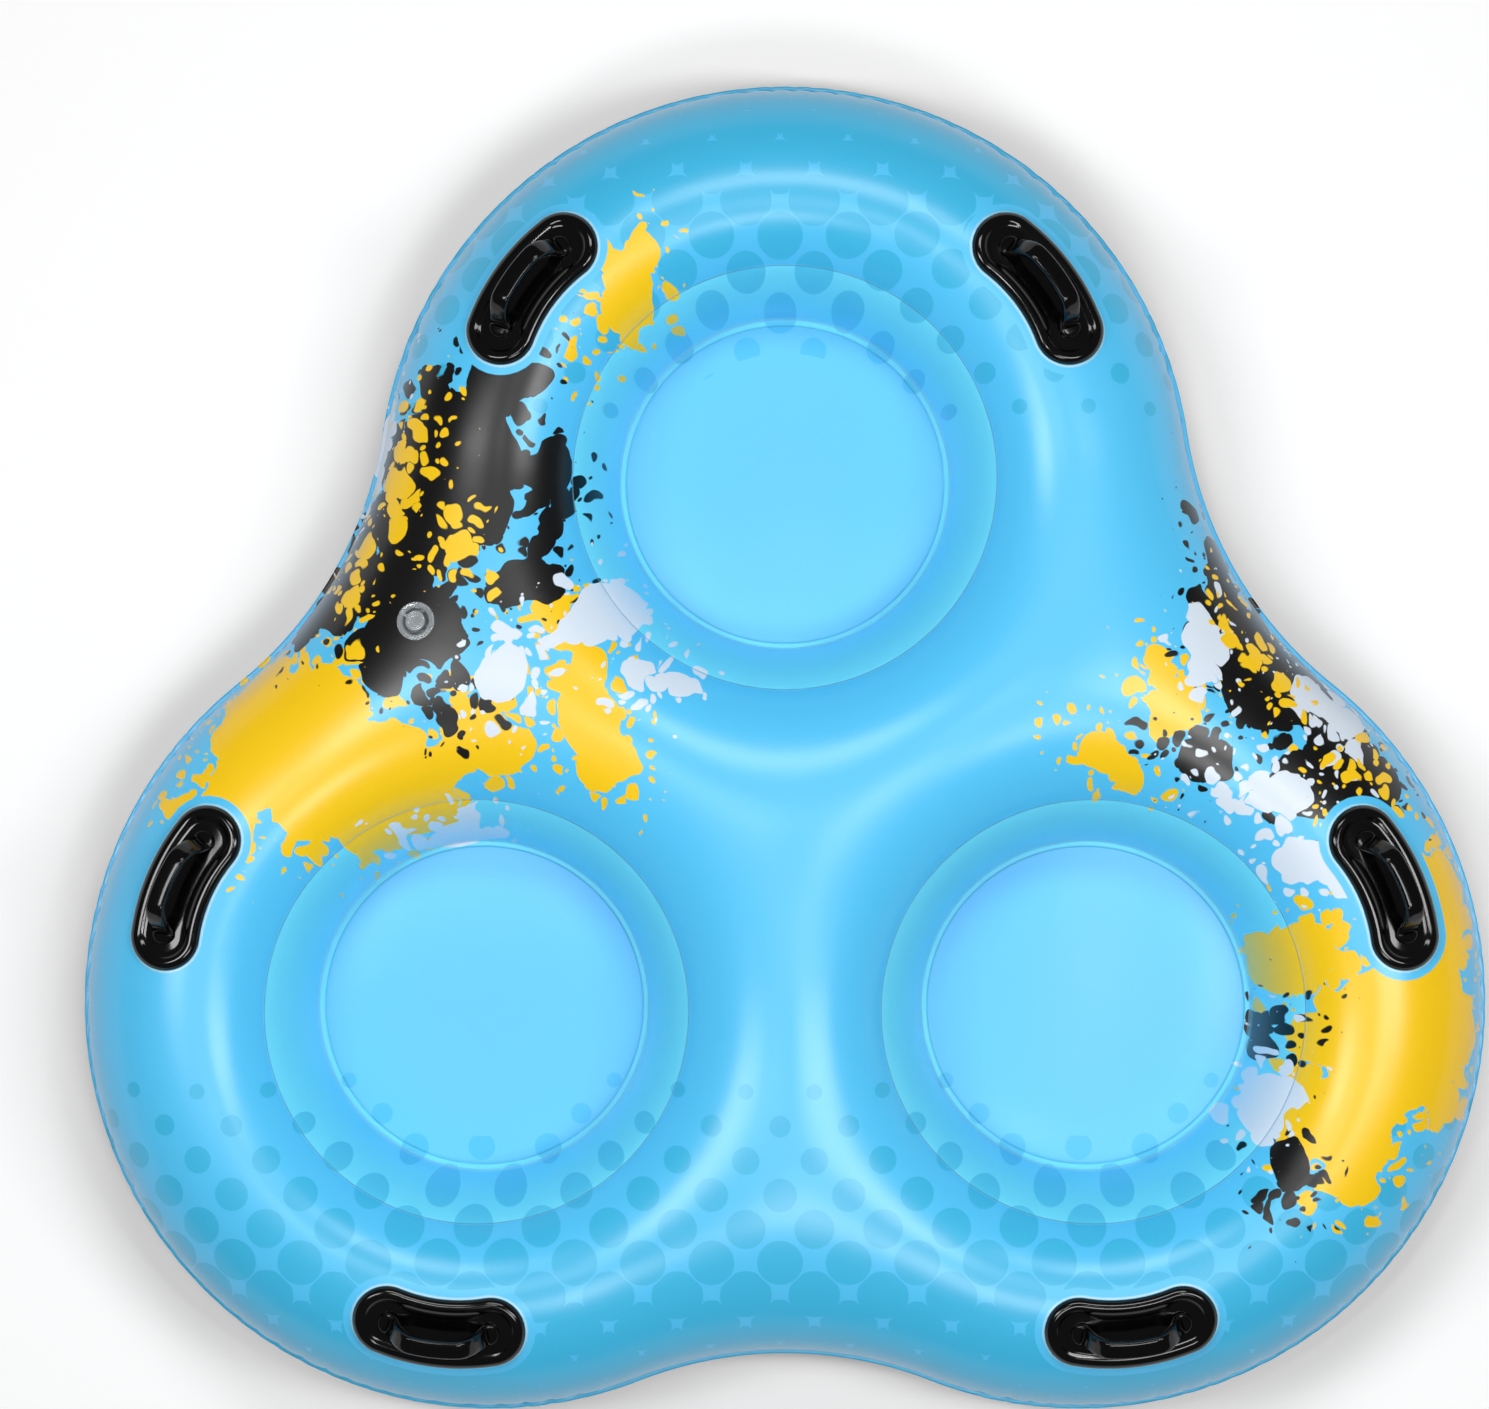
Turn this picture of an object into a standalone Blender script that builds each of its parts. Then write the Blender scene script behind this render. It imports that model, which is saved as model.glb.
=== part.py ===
# Three-seat snow tube: one air chamber between a printed top sheet and a black bottom
# sheet, three seat wells, two handles at each seat and one recessed inflation valve.
# Metres, +Z up. The hub is the middle of the tube, where its three necks meet.

import math

import bpy
from mathutils import Matrix, Vector
from mathutils.geometry import delaunay_2d_cdt

for leftover in list(bpy.data.objects):
    bpy.data.objects.remove(leftover, do_unlink=True)

# Plan of the tube: three lobes round the hub, joined by hollow waists
SEAT_COUNT = 3
FIRST_AXIS = math.radians(90)
LOBE_REACH = 0.455
LOBE_RADIUS = 0.5465
WAIST_RADIUS = 0.537
LIP_WIDTH = 0.007

# Seat wells
SEAT_REACH = 0.4705
FLOOR_RADIUS = 0.222
WALL_RUN = 0.058
LAP_WIDTH = 0.008
FLANGE_WIDTH = 0.008

# Heights of the inflated tube above the snow
SEAM_HEIGHT = 0.130
FLOOR_HEIGHT = 0.060
CREST_HEIGHT = 0.295
BELLY_DEPTH = 0.108
CONTACT_BLEND = 0.006
WELD_FADE = 0.040
RIM_INFLUENCE = 0.580

# Film thicknesses, and the gap kept between pieces that are welded or rest together
TOP_FILM = 0.0006
BOTTOM_FILM = 0.0008
WALL_FILM = 0.0006
FLOOR_FILM = 0.0006
GAP = 0.0003

# Handles: a bent pad with a raised rim, and an arched grip standing in its trough
HANDLE_PLACE_SHARE = 0.649
HANDLE_SPREAD = math.radians(53.5)
PAD_LENGTH = 0.230
PAD_WIDTH = 0.091
PAD_BEND_RADIUS = 0.250
PAD_SEAT = 0.0008
PAD_EDGE = 0.003
PAD_RIM_INSET = 0.011
PAD_RIM_HEIGHT = 0.010
TROUGH_INSET = 0.021
TROUGH_THICKNESS = 0.004
GRIP_LENGTH = 0.158
GRIP_WIDTH = 0.024
GRIP_THICKNESS = 0.012
GRIP_RISE = 0.042
GRIP_FOOT = 0.016
GRIP_CLIMB = 0.032

# Valve: a cup sunk into the top sheet, with a stem, a hinged cap and an inner flap
VALVE_INSET = 0.1338
VALVE_FLANGE_RADIUS = 0.0255
VALVE_FLANGE_THICKNESS = 0.0015
CUP_RADIUS = 0.0195
CUP_WALL = 0.0015
CUP_DEPTH = 0.016
SHEET_HOLE_CLEARANCE = 0.001
STEM_RADIUS = 0.0095
STEM_TOP = 0.001
BORE_RADIUS = 0.0063
CAP_RADIUS = 0.013
CAP_THICKNESS = 0.0027
PLUG_LENGTH = 0.008
PLUG_CLEARANCE = 0.0003
PLUG_TAPER = 0.0013
STRAP_WIDTH = 0.006
STRAP_THICKNESS = 0.0014
CAP_HINGE_REACH = 0.0225
FLAP_RADIUS = 0.008
FLAP_THICKNESS = 0.0006
FLAP_HINGE_MARGIN = 0.0004

# Fineness of the faceting
LOBE_SEGMENTS = 4
LOBE_END_SEGMENTS = 3
WAIST_SEGMENTS = 6
SEAT_SEGMENTS = 32
FILL_PITCH = 0.075
FILL_MARGIN_SHARE = 0.6
PAD_SIDE_SEGMENTS = 5
PAD_END_SEGMENTS = 5
PAD_SPINE_SEGMENTS = 4
GRIP_STATIONS = 16
GRIP_SIDES = 8
ROUND_SEGMENTS = 24
HOLE_SEGMENTS = 16
SMOOTH_BELOW = math.radians(40)
# Rows of points across the tube: how far the last row of a band lies in, as a share of
# the width between two welds, and where the others stand between its weld and the last
RIM_BAND_SHARE = 0.33
RIM_ROW_SHARES = (0.052, 0.21, 0.52, 1)
SEAT_BAND_SHARE = 0.54
NECK_BAND_SHARE = 0.48
TOP_ROW_SHARES = (0.285, 0.66, 1)
WALL_ROW_SHARES = (0.03, 0.13, 0.26)
BELLY_ROW_SHARES = (0.03, 0.13, 0.31, 0.52)
ROW_MARGIN = 0.010
TINY = 1e-9
PROBE = 1e-5

# Worked out from the sizes above
HALF_TURN = math.pi
SEAT_STEP = 2 * HALF_TURN / SEAT_COUNT
LOBE_AXES = [FIRST_AXIS + SEAT_STEP * number for number in range(SEAT_COUNT)]
WELD_LOBE_RADIUS = LOBE_RADIUS - LIP_WIDTH
WELD_WAIST_RADIUS = WAIST_RADIUS + LIP_WIDTH
WAIST_ACROSS = LOBE_REACH * math.sin(SEAT_STEP / 2)
WAIST_CENTRE_REACH = LOBE_REACH * math.cos(SEAT_STEP / 2) + math.sqrt(
    (LOBE_RADIUS + WAIST_RADIUS) ** 2 - WAIST_ACROSS**2
)
LOBE_HALF_SWEEP = math.atan2(
    WAIST_CENTRE_REACH * math.sin(SEAT_STEP / 2),
    WAIST_CENTRE_REACH * math.cos(SEAT_STEP / 2) - LOBE_REACH,
)
WAIST_HALF_SWEEP = LOBE_HALF_SWEEP - SEAT_STEP / 2
RING_RADIUS = FLOOR_RADIUS + WALL_RUN
SEAT_OFFSET = SEAT_REACH - LOBE_REACH
TUBE_WIDTH = WELD_LOBE_RADIUS - SEAT_OFFSET - FLOOR_RADIUS
NECK_WIDTH = 2 * (SEAT_REACH * math.sin(SEAT_STEP / 2) - FLOOR_RADIUS)
SEAT_BAND = min(SEAT_BAND_SHARE * TUBE_WIDTH, NECK_BAND_SHARE * NECK_WIDTH)
HOLE_RADIUS = CUP_RADIUS + SHEET_HOLE_CLEARANCE
RIM_BAND = min(RIM_BAND_SHARE * TUBE_WIDTH, VALVE_INSET - HOLE_RADIUS - ROW_MARGIN)
VALVE_REACH = WAIST_CENTRE_REACH - WELD_WAIST_RADIUS - VALVE_INSET
# Handles stand this share of the way from a seat's floor to the rim, seen from the seat
RIM_REACH_AT_HANDLE = math.sqrt(
    WELD_LOBE_RADIUS**2 - (SEAT_OFFSET * math.sin(HANDLE_SPREAD)) ** 2
) - SEAT_OFFSET * math.cos(HANDLE_SPREAD)
HANDLE_REACH = FLOOR_RADIUS + HANDLE_PLACE_SHARE * (RIM_REACH_AT_HANDLE - FLOOR_RADIUS)
MEAN_WELD = (SEAM_HEIGHT + FLOOR_HEIGHT) / 2
HUB_Y = -(LOBE_REACH - LOBE_REACH * math.cos(SEAT_STEP / 2)) / 2
TOP_LIP_HEIGHT = SEAM_HEIGHT + GAP / 2 + TOP_FILM
BOTTOM_LIP_HEIGHT = SEAM_HEIGHT - GAP / 2 - BOTTOM_FILM
FLOOR_SHEET_HEIGHT = FLOOR_HEIGHT + BOTTOM_FILM + GAP
FLANGE_HEIGHT = FLOOR_SHEET_HEIGHT + FLOOR_FILM + GAP + WALL_FILM


def polar(radius, angle):
    return radius * math.cos(angle), radius * math.sin(angle)


def turn_between(first, second):
    return abs((second - first + HALF_TURN) % (2 * HALF_TURN) - HALF_TURN)


# Shape of the inflated skin

def rim_distance(x, y):
    """How far a point lies inside the weld that runs round the tube."""
    found = [RIM_INFLUENCE]
    for axis in LOBE_AXES:
        lobe_x, lobe_y = polar(LOBE_REACH, axis)
        if turn_between(axis, math.atan2(y - lobe_y, x - lobe_x)) <= LOBE_HALF_SWEEP + TINY:
            found.append(WELD_LOBE_RADIUS - math.hypot(x - lobe_x, y - lobe_y))
        waist = axis + SEAT_STEP / 2
        waist_x, waist_y = polar(WAIST_CENTRE_REACH, waist)
        facing = math.atan2(y - waist_y, x - waist_x)
        if turn_between(waist + HALF_TURN, facing) <= WAIST_HALF_SWEEP + TINY:
            found.append(math.hypot(x - waist_x, y - waist_y) - WELD_WAIST_RADIUS)
    return min(found)


def room_and_weld(x, y):
    """Room that the welds leave the skin to swell in here, and the height they hold it at.

    Between two straight welds the room is that of a circular arc, so a plain stretch of
    the tube comes out round, and the necks and the hub follow from the same sum.
    """
    rim = max(rim_distance(x, y), TINY)
    hold = max(1 - (rim / RIM_INFLUENCE) ** 2, 0) ** 2 / rim
    height = MEAN_WELD + (SEAM_HEIGHT - MEAN_WELD) * math.exp(-rim / WELD_FADE)
    for axis in LOBE_AXES:
        seat_x, seat_y = polar(SEAT_REACH, axis)
        well = max(math.hypot(x - seat_x, y - seat_y) - FLOOR_RADIUS, TINY)
        hold += 1 / well
        height += (FLOOR_HEIGHT - MEAN_WELD) * math.exp(-well / WELD_FADE)
    return 1 / hold, height


TIP_ROOM = room_and_weld(*polar(SEAT_REACH + FLOOR_RADIUS + TUBE_WIDTH / 2, FIRST_AXIS))[0]
TOP_SWELL = (CREST_HEIGHT - MEAN_WELD) ** 2 / TIP_ROOM
BELLY_SWELL = BELLY_DEPTH**2 / TIP_ROOM


def top_height(x, y):
    room, weld = room_and_weld(x, y)
    return weld + math.sqrt(TOP_SWELL * room)


def belly_height(x, y):
    """Underside of the tube, pressed flat where it would reach below the snow."""
    room, weld = room_and_weld(x, y)
    free = weld - math.sqrt(BELLY_SWELL * room)
    if free >= CONTACT_BLEND:
        return free
    return max(free + CONTACT_BLEND, 0) ** 2 / (4 * CONTACT_BLEND)


def skin_normal(x, y):
    slope_x = (top_height(x + PROBE, y) - top_height(x - PROBE, y)) / (2 * PROBE)
    slope_y = (top_height(x, y + PROBE) - top_height(x, y - PROBE)) / (2 * PROBE)
    return Vector((-slope_x, -slope_y, 1)).normalized()


def on_skin(x, y, lift=0):
    """Point above the top skin, measured square to it."""
    return Vector((x, y, top_height(x, y))) + skin_normal(x, y) * lift


# Loops of points in plan, which the sheets are built on

def rim_loop(inset):
    """Closed loop that runs this far inside the rim weld, or outside it if negative.

    Points stand on each lobe's outermost places along X and Y, so the box is exact.
    """
    extreme = SEAT_STEP / 4
    half = [extreme * i / LOBE_SEGMENTS for i in range(2 * LOBE_SEGMENTS)]
    rest = LOBE_HALF_SWEEP - 2 * extreme
    half += [
        2 * extreme + rest * i / LOBE_END_SEGMENTS for i in range(LOBE_END_SEGMENTS + 1)
    ]
    lobe_turns = [-turn for turn in reversed(half[1:])] + half
    waist_turns = [
        WAIST_HALF_SWEEP - 2 * WAIST_HALF_SWEEP * i / WAIST_SEGMENTS
        for i in range(1, WAIST_SEGMENTS)
    ]
    loop = []
    for axis in LOBE_AXES:
        middle = Vector(polar(LOBE_REACH, axis))
        loop += [
            middle + Vector(polar(WELD_LOBE_RADIUS - inset, axis + turn))
            for turn in lobe_turns
        ]
        waist = axis + SEAT_STEP / 2
        middle = Vector(polar(WAIST_CENTRE_REACH, waist))
        loop += [
            middle + Vector(polar(WELD_WAIST_RADIUS + inset, waist + HALF_TURN + turn))
            for turn in waist_turns
        ]
    return loop


def round_loop(middle, radius, first=0, segments=SEAT_SEGMENTS):
    step = 2 * HALF_TURN / segments
    return [middle + Vector(polar(radius, first + step * i)) for i in range(segments)]


def seat_loop(axis, radius):
    return round_loop(Vector(polar(SEAT_REACH, axis)), radius, axis)


def raised(loop, height):
    """Loop with its heights, which are one number or a function of the place."""
    if callable(height):
        return [Vector((x, y, height(x, y))) for x, y in loop]
    return [Vector((x, y, height)) for x, y in loop]


def fill_points(rim_row, seat_radius, holes):
    """Even lattice of points where the rows leave the skin open."""
    reach = LOBE_REACH + LOBE_RADIUS
    rows = math.ceil(reach / (FILL_PITCH * math.sin(HALF_TURN / 3)))
    columns = math.ceil(reach / FILL_PITCH) + 1
    margin = FILL_PITCH * FILL_MARGIN_SHARE
    discs = [(polar(SEAT_REACH, axis), seat_radius) for axis in LOBE_AXES] + holes
    found = []
    for row in range(-rows, rows + 1):
        y = row * FILL_PITCH * math.sin(HALF_TURN / 3)
        for column in range(-columns, columns + 1):
            x = (column + row % 2 / 2) * FILL_PITCH
            clear = all(
                math.hypot(x - middle[0], y - middle[1]) > radius + margin
                for middle, radius in discs
            )
            if clear and math.hypot(x, y) < reach and rim_distance(x, y) > rim_row + margin:
                found.append(Vector((x, y)))
    return found


def triangles_between(loops, loose, holes):
    """Triangles over the plan of these loops, with none inside the round holes."""
    points = []
    edges = []
    for loop in loops:
        start = len(points)
        points += loop
        edges += [(start + i, start + (i + 1) % len(loop)) for i in range(len(loop))]
    points += loose
    plan = [point.to_2d() for point in points]
    _, _, faces, origins, _, _ = delaunay_2d_cdt(plan, edges, [], 1, TINY)
    kept = []
    for face in faces:
        corners = [origins[corner][0] for corner in face]
        a, b, c = (plan[corner] for corner in corners)
        centre = (a + b + c) / 3
        if any((centre - Vector(middle)).length < radius for middle, radius in holes):
            continue
        if (b - a).cross(c - a) < 0:
            corners.reverse()
        kept.append(corners)
    return points, kept


# Making the objects

def plastic(name, colour, roughness, alpha=1):
    """Plain moulded or calendered plastic, from a linear colour."""
    material = bpy.data.materials.new(name)
    material.use_nodes = True
    shader = material.node_tree.nodes["Principled BSDF"]
    shader.inputs["Base Color"].default_value = (*colour, 1)
    shader.inputs["Roughness"].default_value = roughness
    shader.inputs["Metallic"].default_value = 0
    shader.inputs["Alpha"].default_value = alpha
    return material


def make_mesh(name, points, faces):
    mesh = bpy.data.meshes.new(name)
    mesh.from_pydata(points, [], faces)
    mesh.shade_smooth()
    mesh.set_sharp_from_angle(angle=SMOOTH_BELOW)
    return mesh


def make_object(name, mesh, material, parent):
    piece = bpy.data.objects.new(name, mesh)
    bpy.context.collection.objects.link(piece)
    piece.data.materials.clear()
    piece.data.materials.append(material)
    piece.parent = parent
    return piece


def make_empty(name, parent, place, turn=0):
    empty = bpy.data.objects.new(name, None)
    bpy.context.collection.objects.link(empty)
    empty.parent = parent
    empty.location = place
    empty.rotation_euler = (0, 0, turn)
    return empty


def thicken(piece, film):
    """Gives a sheet its film, on the side away from its normals."""
    solidify = piece.modifiers.new("film", "SOLIDIFY")
    solidify.thickness = film
    solidify.offset = -1
    solidify.use_even_offset = True
    solidify.use_rim = True


def move_origin(piece, place):
    piece.data.transform(Matrix.Translation(-place))
    piece.location = place


# Sheets of the air chamber

def sheet_loops(lip_height, surface, seat_radii):
    lip = raised(rim_loop(-LIP_WIDTH), lip_height)
    weld = raised(rim_loop(0), lip_height)
    rows = [raised(rim_loop(share * RIM_BAND), surface) for share in RIM_ROW_SHARES]
    seats = [
        raised(seat_loop(axis, radius), surface)
        for axis in LOBE_AXES
        for radius in seat_radii
    ]
    return [lip, weld] + rows, seats


def valve_middle():
    return Vector(polar(VALVE_REACH, FIRST_AXIS + SEAT_STEP / 2))


def make_top_sheet(parent):
    lap_edge = RING_RADIUS + LAP_WIDTH
    band = FLOOR_RADIUS + SEAT_BAND - lap_edge
    radii = [RING_RADIUS, lap_edge] + [lap_edge + share * band for share in TOP_ROW_SHARES]
    rows, seats = sheet_loops(TOP_LIP_HEIGHT, top_height, radii)
    hole = round_loop(valve_middle(), HOLE_RADIUS, segments=HOLE_SEGMENTS)
    hole_disc = (tuple(valve_middle()), HOLE_RADIUS)
    loose = fill_points(RIM_BAND, radii[-1], [hole_disc])
    holes = [(polar(SEAT_REACH, axis), RING_RADIUS) for axis in LOBE_AXES] + [hole_disc]
    loops = rows + seats + [raised(hole, top_height)]
    points, faces = triangles_between(loops, raised(loose, top_height), holes)
    blue = plastic("top_sheet", (0.12, 0.60, 0.96), 0.35)
    sheet = make_object("top_sheet", make_mesh("top_sheet", points, faces), blue, parent)
    thicken(sheet, TOP_FILM)


def make_bottom_sheet(parent):
    radii = [FLOOR_RADIUS + share * SEAT_BAND for share in BELLY_ROW_SHARES]
    rows, seats = sheet_loops(BOTTOM_LIP_HEIGHT, belly_height, radii)
    plateaus = [raised(seat_loop(axis, FLOOR_RADIUS), FLOOR_HEIGHT) for axis in LOBE_AXES]
    loose = fill_points(RIM_BAND, radii[-1], [])
    loops = rows + seats + plateaus
    points, faces = triangles_between(loops, raised(loose, belly_height), [])
    black = plastic("bottom_sheet", (0.012, 0.012, 0.014), 0.45)
    downward = [list(reversed(face)) for face in faces]
    mesh = make_mesh("bottom_sheet", points, downward)
    sheet = make_object("bottom_sheet", mesh, black, parent)
    thicken(sheet, BOTTOM_FILM)


# Seat wells, modelled at the first seat and turned round the hub for the others

def wall_mesh():
    """Side of a well: a flange on the floor, the swelling wall, and a lap under the top sheet."""
    axis = FIRST_AXIS
    rows = [raised(seat_loop(axis, FLOOR_RADIUS - FLANGE_WIDTH), FLANGE_HEIGHT)]
    rows += [raised(seat_loop(axis, FLOOR_RADIUS), FLANGE_HEIGHT)]
    radii = [FLOOR_RADIUS + share * SEAT_BAND for share in WALL_ROW_SHARES]
    radii += [RING_RADIUS, RING_RADIUS + LAP_WIDTH]
    depth = TOP_FILM + GAP
    rows += [[on_skin(x, y, -depth) for x, y in seat_loop(axis, radius)] for radius in radii]
    hole = (polar(SEAT_REACH, axis), FLOOR_RADIUS - FLANGE_WIDTH)
    points, faces = triangles_between(rows, [], [hole])
    return make_mesh("seat_wall", points, faces)


def floor_mesh():
    loop = raised(seat_loop(FIRST_AXIS, FLOOR_RADIUS), FLOOR_SHEET_HEIGHT + FLOOR_FILM)
    points, faces = triangles_between([loop], [], [])
    return make_mesh("seat_floor", points, faces)


# Handles, one each side of a seat's outward axis

def handle_plan(side, along, across):
    """Plan place on a handle, by the angle along its bend and the offset outward."""
    facing = FIRST_AXIS + side * HANDLE_SPREAD
    seat = Vector(polar(SEAT_REACH, FIRST_AXIS))
    bend_middle = seat + Vector(polar(HANDLE_REACH - PAD_BEND_RADIUS, facing))
    return bend_middle + Vector(polar(PAD_BEND_RADIUS + across, facing + along))


def pad_sweep(segments):
    """Even angles along the bend, between the middles of the pad's round ends."""
    end_turn = (PAD_LENGTH - PAD_WIDTH) / 2 / PAD_BEND_RADIUS
    return [end_turn * (2 * i / segments - 1) for i in range(segments + 1)]


def pad_loop(side, inset):
    """Outline of the pad, a bar with round ends bent about the seat, drawn in by inset."""
    half_width = PAD_WIDTH / 2 - inset
    facing = FIRST_AXIS + side * HANDLE_SPREAD
    sweep = pad_sweep(PAD_SIDE_SEGMENTS)
    loop = []
    for turn, outward in ((sweep[-1], 1), (sweep[0], -1)):
        along = sweep if outward > 0 else reversed(sweep)
        loop += [handle_plan(side, angle, half_width * outward) for angle in along]
        middle = handle_plan(side, turn, 0)
        start = facing + turn + (0 if outward > 0 else HALF_TURN)
        loop += [
            middle + Vector(polar(half_width, start + HALF_TURN * i / PAD_END_SEGMENTS))
            for i in range(1, PAD_END_SEGMENTS)
        ]
    return loop


def pad_mesh(side):
    """Padded base of a handle: edge, raised rim and sunken trough over a base on the skin."""
    rows = (
        (0, PAD_EDGE),
        (PAD_RIM_INSET, PAD_RIM_HEIGHT),
        (TROUGH_INSET, TROUGH_THICKNESS),
    )
    loops = [pad_loop(side, inset) for inset, _ in rows]
    spine = [handle_plan(side, turn, 0) for turn in pad_sweep(PAD_SPINE_SEGMENTS)]
    lifts = [lift for loop, (_, lift) in zip(loops, rows) for _ in loop]
    lifts += [TROUGH_THICKNESS] * len(spine)
    plan, faces = triangles_between(loops, spine, [])
    top = [on_skin(x, y, PAD_SEAT + lift) for (x, y), lift in zip(plan, lifts)]
    base = [on_skin(x, y, PAD_SEAT) for x, y in plan]
    count = len(plan)
    under = [[corner + count for corner in reversed(face)] for face in faces]
    edge = len(loops[0])
    rim = [[i, i + count, (i + 1) % edge + count, (i + 1) % edge] for i in range(edge)]
    return make_mesh("handle_pad", top + base, faces + under + rim)


def grip_mesh(side):
    """Arched grip with a flat foot at each end, lying in the pad's trough."""
    stations, sides = GRIP_STATIONS, GRIP_SIDES
    half = GRIP_LENGTH / 2
    foot_lift = PAD_SEAT + TROUGH_THICKNESS + GAP + GRIP_THICKNESS / 2
    path = []
    for i in range(stations + 1):
        run = half * (2 * i / stations - 1)
        climb = min(max(half - abs(run) - GRIP_FOOT, 0) / GRIP_CLIMB, 1)
        rise = GRIP_RISE * math.sin(climb * HALF_TURN / 2)
        x, y = handle_plan(side, run / PAD_BEND_RADIUS, 0)
        path.append((on_skin(x, y, foot_lift + rise), skin_normal(x, y)))
    points = []
    for i, (place, up) in enumerate(path):
        ahead = path[min(i + 1, stations)][0] - path[max(i - 1, 0)][0]
        sideways = ahead.cross(up).normalized()
        square = sideways.cross(ahead).normalized()
        for j in range(sides):
            turn = 2 * HALF_TURN * (j + 1 / 2) / sides
            points.append(
                place
                + sideways * GRIP_WIDTH / 2 * math.cos(turn)
                + square * GRIP_THICKNESS / 2 * math.sin(turn)
            )
    faces = []
    for i in range(stations):
        for j in range(sides):
            following = (j + 1) % sides
            a, b = i * sides + j, i * sides + following
            faces.append([a, a + sides, b + sides, b])
    faces.append(list(range(sides)))
    faces.append([stations * sides + j for j in reversed(range(sides))])
    return make_mesh("handle_grip", points, faces)


# Valve, set square to the skin on the waist between the first two seats

def valve_frame():
    """Turns the valve's own axes, with +X away from the hub, into those of the hub."""
    middle = valve_middle()
    up = skin_normal(*middle)
    outward = Vector((*middle, 0))
    outward = (outward - up * outward.dot(up)).normalized()
    frame = Matrix((outward, up.cross(outward), up)).transposed().to_4x4()
    return Matrix.Translation(on_skin(*middle)) @ frame


def turned_mesh(name, profile, frame):
    """Hollow turned piece, from a closed profile of radius, height and whether it is on the skin."""
    points = []
    for i in range(ROUND_SEGMENTS):
        turn = 2 * HALF_TURN * i / ROUND_SEGMENTS
        for radius, height, lies_on_skin in profile:
            x, y = polar(radius, turn)
            point = frame @ Vector((x, y, height))
            if lies_on_skin:
                flat = frame @ Vector((x, y, 0))
                point = on_skin(flat.x, flat.y, height)
            points.append(point)
    count = len(profile)
    faces = []
    for i in range(ROUND_SEGMENTS):
        here = i * count
        there = (i + 1) % ROUND_SEGMENTS * count
        for j in range(count):
            following = (j + 1) % count
            faces.append([here + j, here + following, there + following, there + j])
    return make_mesh(name, points, faces)


def stacked_mesh(name, profile, frame):
    """Solid turned piece, from a profile of radius and height that runs from top to bottom."""
    count = ROUND_SEGMENTS
    points = []
    for radius, height in profile:
        ring = round_loop(Vector((0, 0)), radius, segments=count)
        points += [frame @ point for point in raised(ring, height)]
    faces = [list(range(count))]
    last = len(points) - count
    for row in range(0, last, count):
        for i in range(count):
            following = (i + 1) % count
            faces.append([row + i, row + count + i, row + count + following, row + following])
    faces.append([last + i for i in reversed(range(count))])
    return make_mesh(name, points, faces)


def make_valve_body(parent, frame, clear):
    low = -CUP_DEPTH - CUP_WALL
    inner = CUP_RADIUS - CUP_WALL
    flange_top = GAP + VALVE_FLANGE_THICKNESS
    profile = [
        (VALVE_FLANGE_RADIUS, flange_top, True),
        (VALVE_FLANGE_RADIUS, GAP, True),
        (CUP_RADIUS, GAP, True),
        (CUP_RADIUS, low, False),
        (BORE_RADIUS, low, False),
        (BORE_RADIUS, STEM_TOP, False),
        (STEM_RADIUS, STEM_TOP, False),
        (STEM_RADIUS, -CUP_DEPTH, False),
        (inner, -CUP_DEPTH, False),
        (inner, flange_top, True),
    ]
    make_object("valve_body", turned_mesh("valve_body", profile, frame), clear, parent)


def make_valve_cap(parent, frame, clear):
    under = STEM_TOP + GAP
    plug_radius = BORE_RADIUS - PLUG_CLEARANCE
    profile = [
        (CAP_RADIUS, under + CAP_THICKNESS),
        (CAP_RADIUS, under),
        (plug_radius, under),
        (plug_radius - PLUG_TAPER, under - PLUG_LENGTH),
    ]
    cap = make_object("valve_cap", stacked_mesh("valve_cap", profile, frame), clear, parent)

    near, far = CAP_RADIUS - STRAP_WIDTH / 2, CAP_HINGE_REACH
    base, top = under + GAP, under + GAP + STRAP_THICKNESS
    half = STRAP_WIDTH / 2
    corners = [(x, y, z) for x in (near, far) for y in (-half, half) for z in (base, top)]
    box = [(0, 1, 3, 2), (4, 6, 7, 5), (0, 4, 5, 1), (2, 3, 7, 6), (0, 2, 6, 4), (1, 5, 7, 3)]
    strap_mesh = make_mesh("strap", [frame @ Vector(corner) for corner in corners], box)
    strap = make_object("strap", strap_mesh, clear, parent)
    hinge = frame @ Vector((CAP_HINGE_REACH, 0, base + STRAP_THICKNESS / 2))
    for piece in (cap, strap):
        move_origin(piece, hinge)
    strap.hide_render = True
    strap.display_type = "WIRE"
    join = cap.modifiers.new("strap", "BOOLEAN")
    join.operation = "UNION"
    join.object = strap


def make_valve_flap(parent, frame, clear):
    top = -CUP_DEPTH - CUP_WALL - GAP
    profile = [(FLAP_RADIUS, top), (FLAP_RADIUS, top - FLAP_THICKNESS)]
    flap = make_object("valve_flap", stacked_mesh("valve_flap", profile, frame), clear, parent)
    move_origin(flap, frame @ Vector((FLAP_RADIUS + FLAP_HINGE_MARGIN, 0, top)))


hub = make_empty("hub", None, (0, HUB_Y, 0))
make_top_sheet(hub)
make_bottom_sheet(hub)

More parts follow.
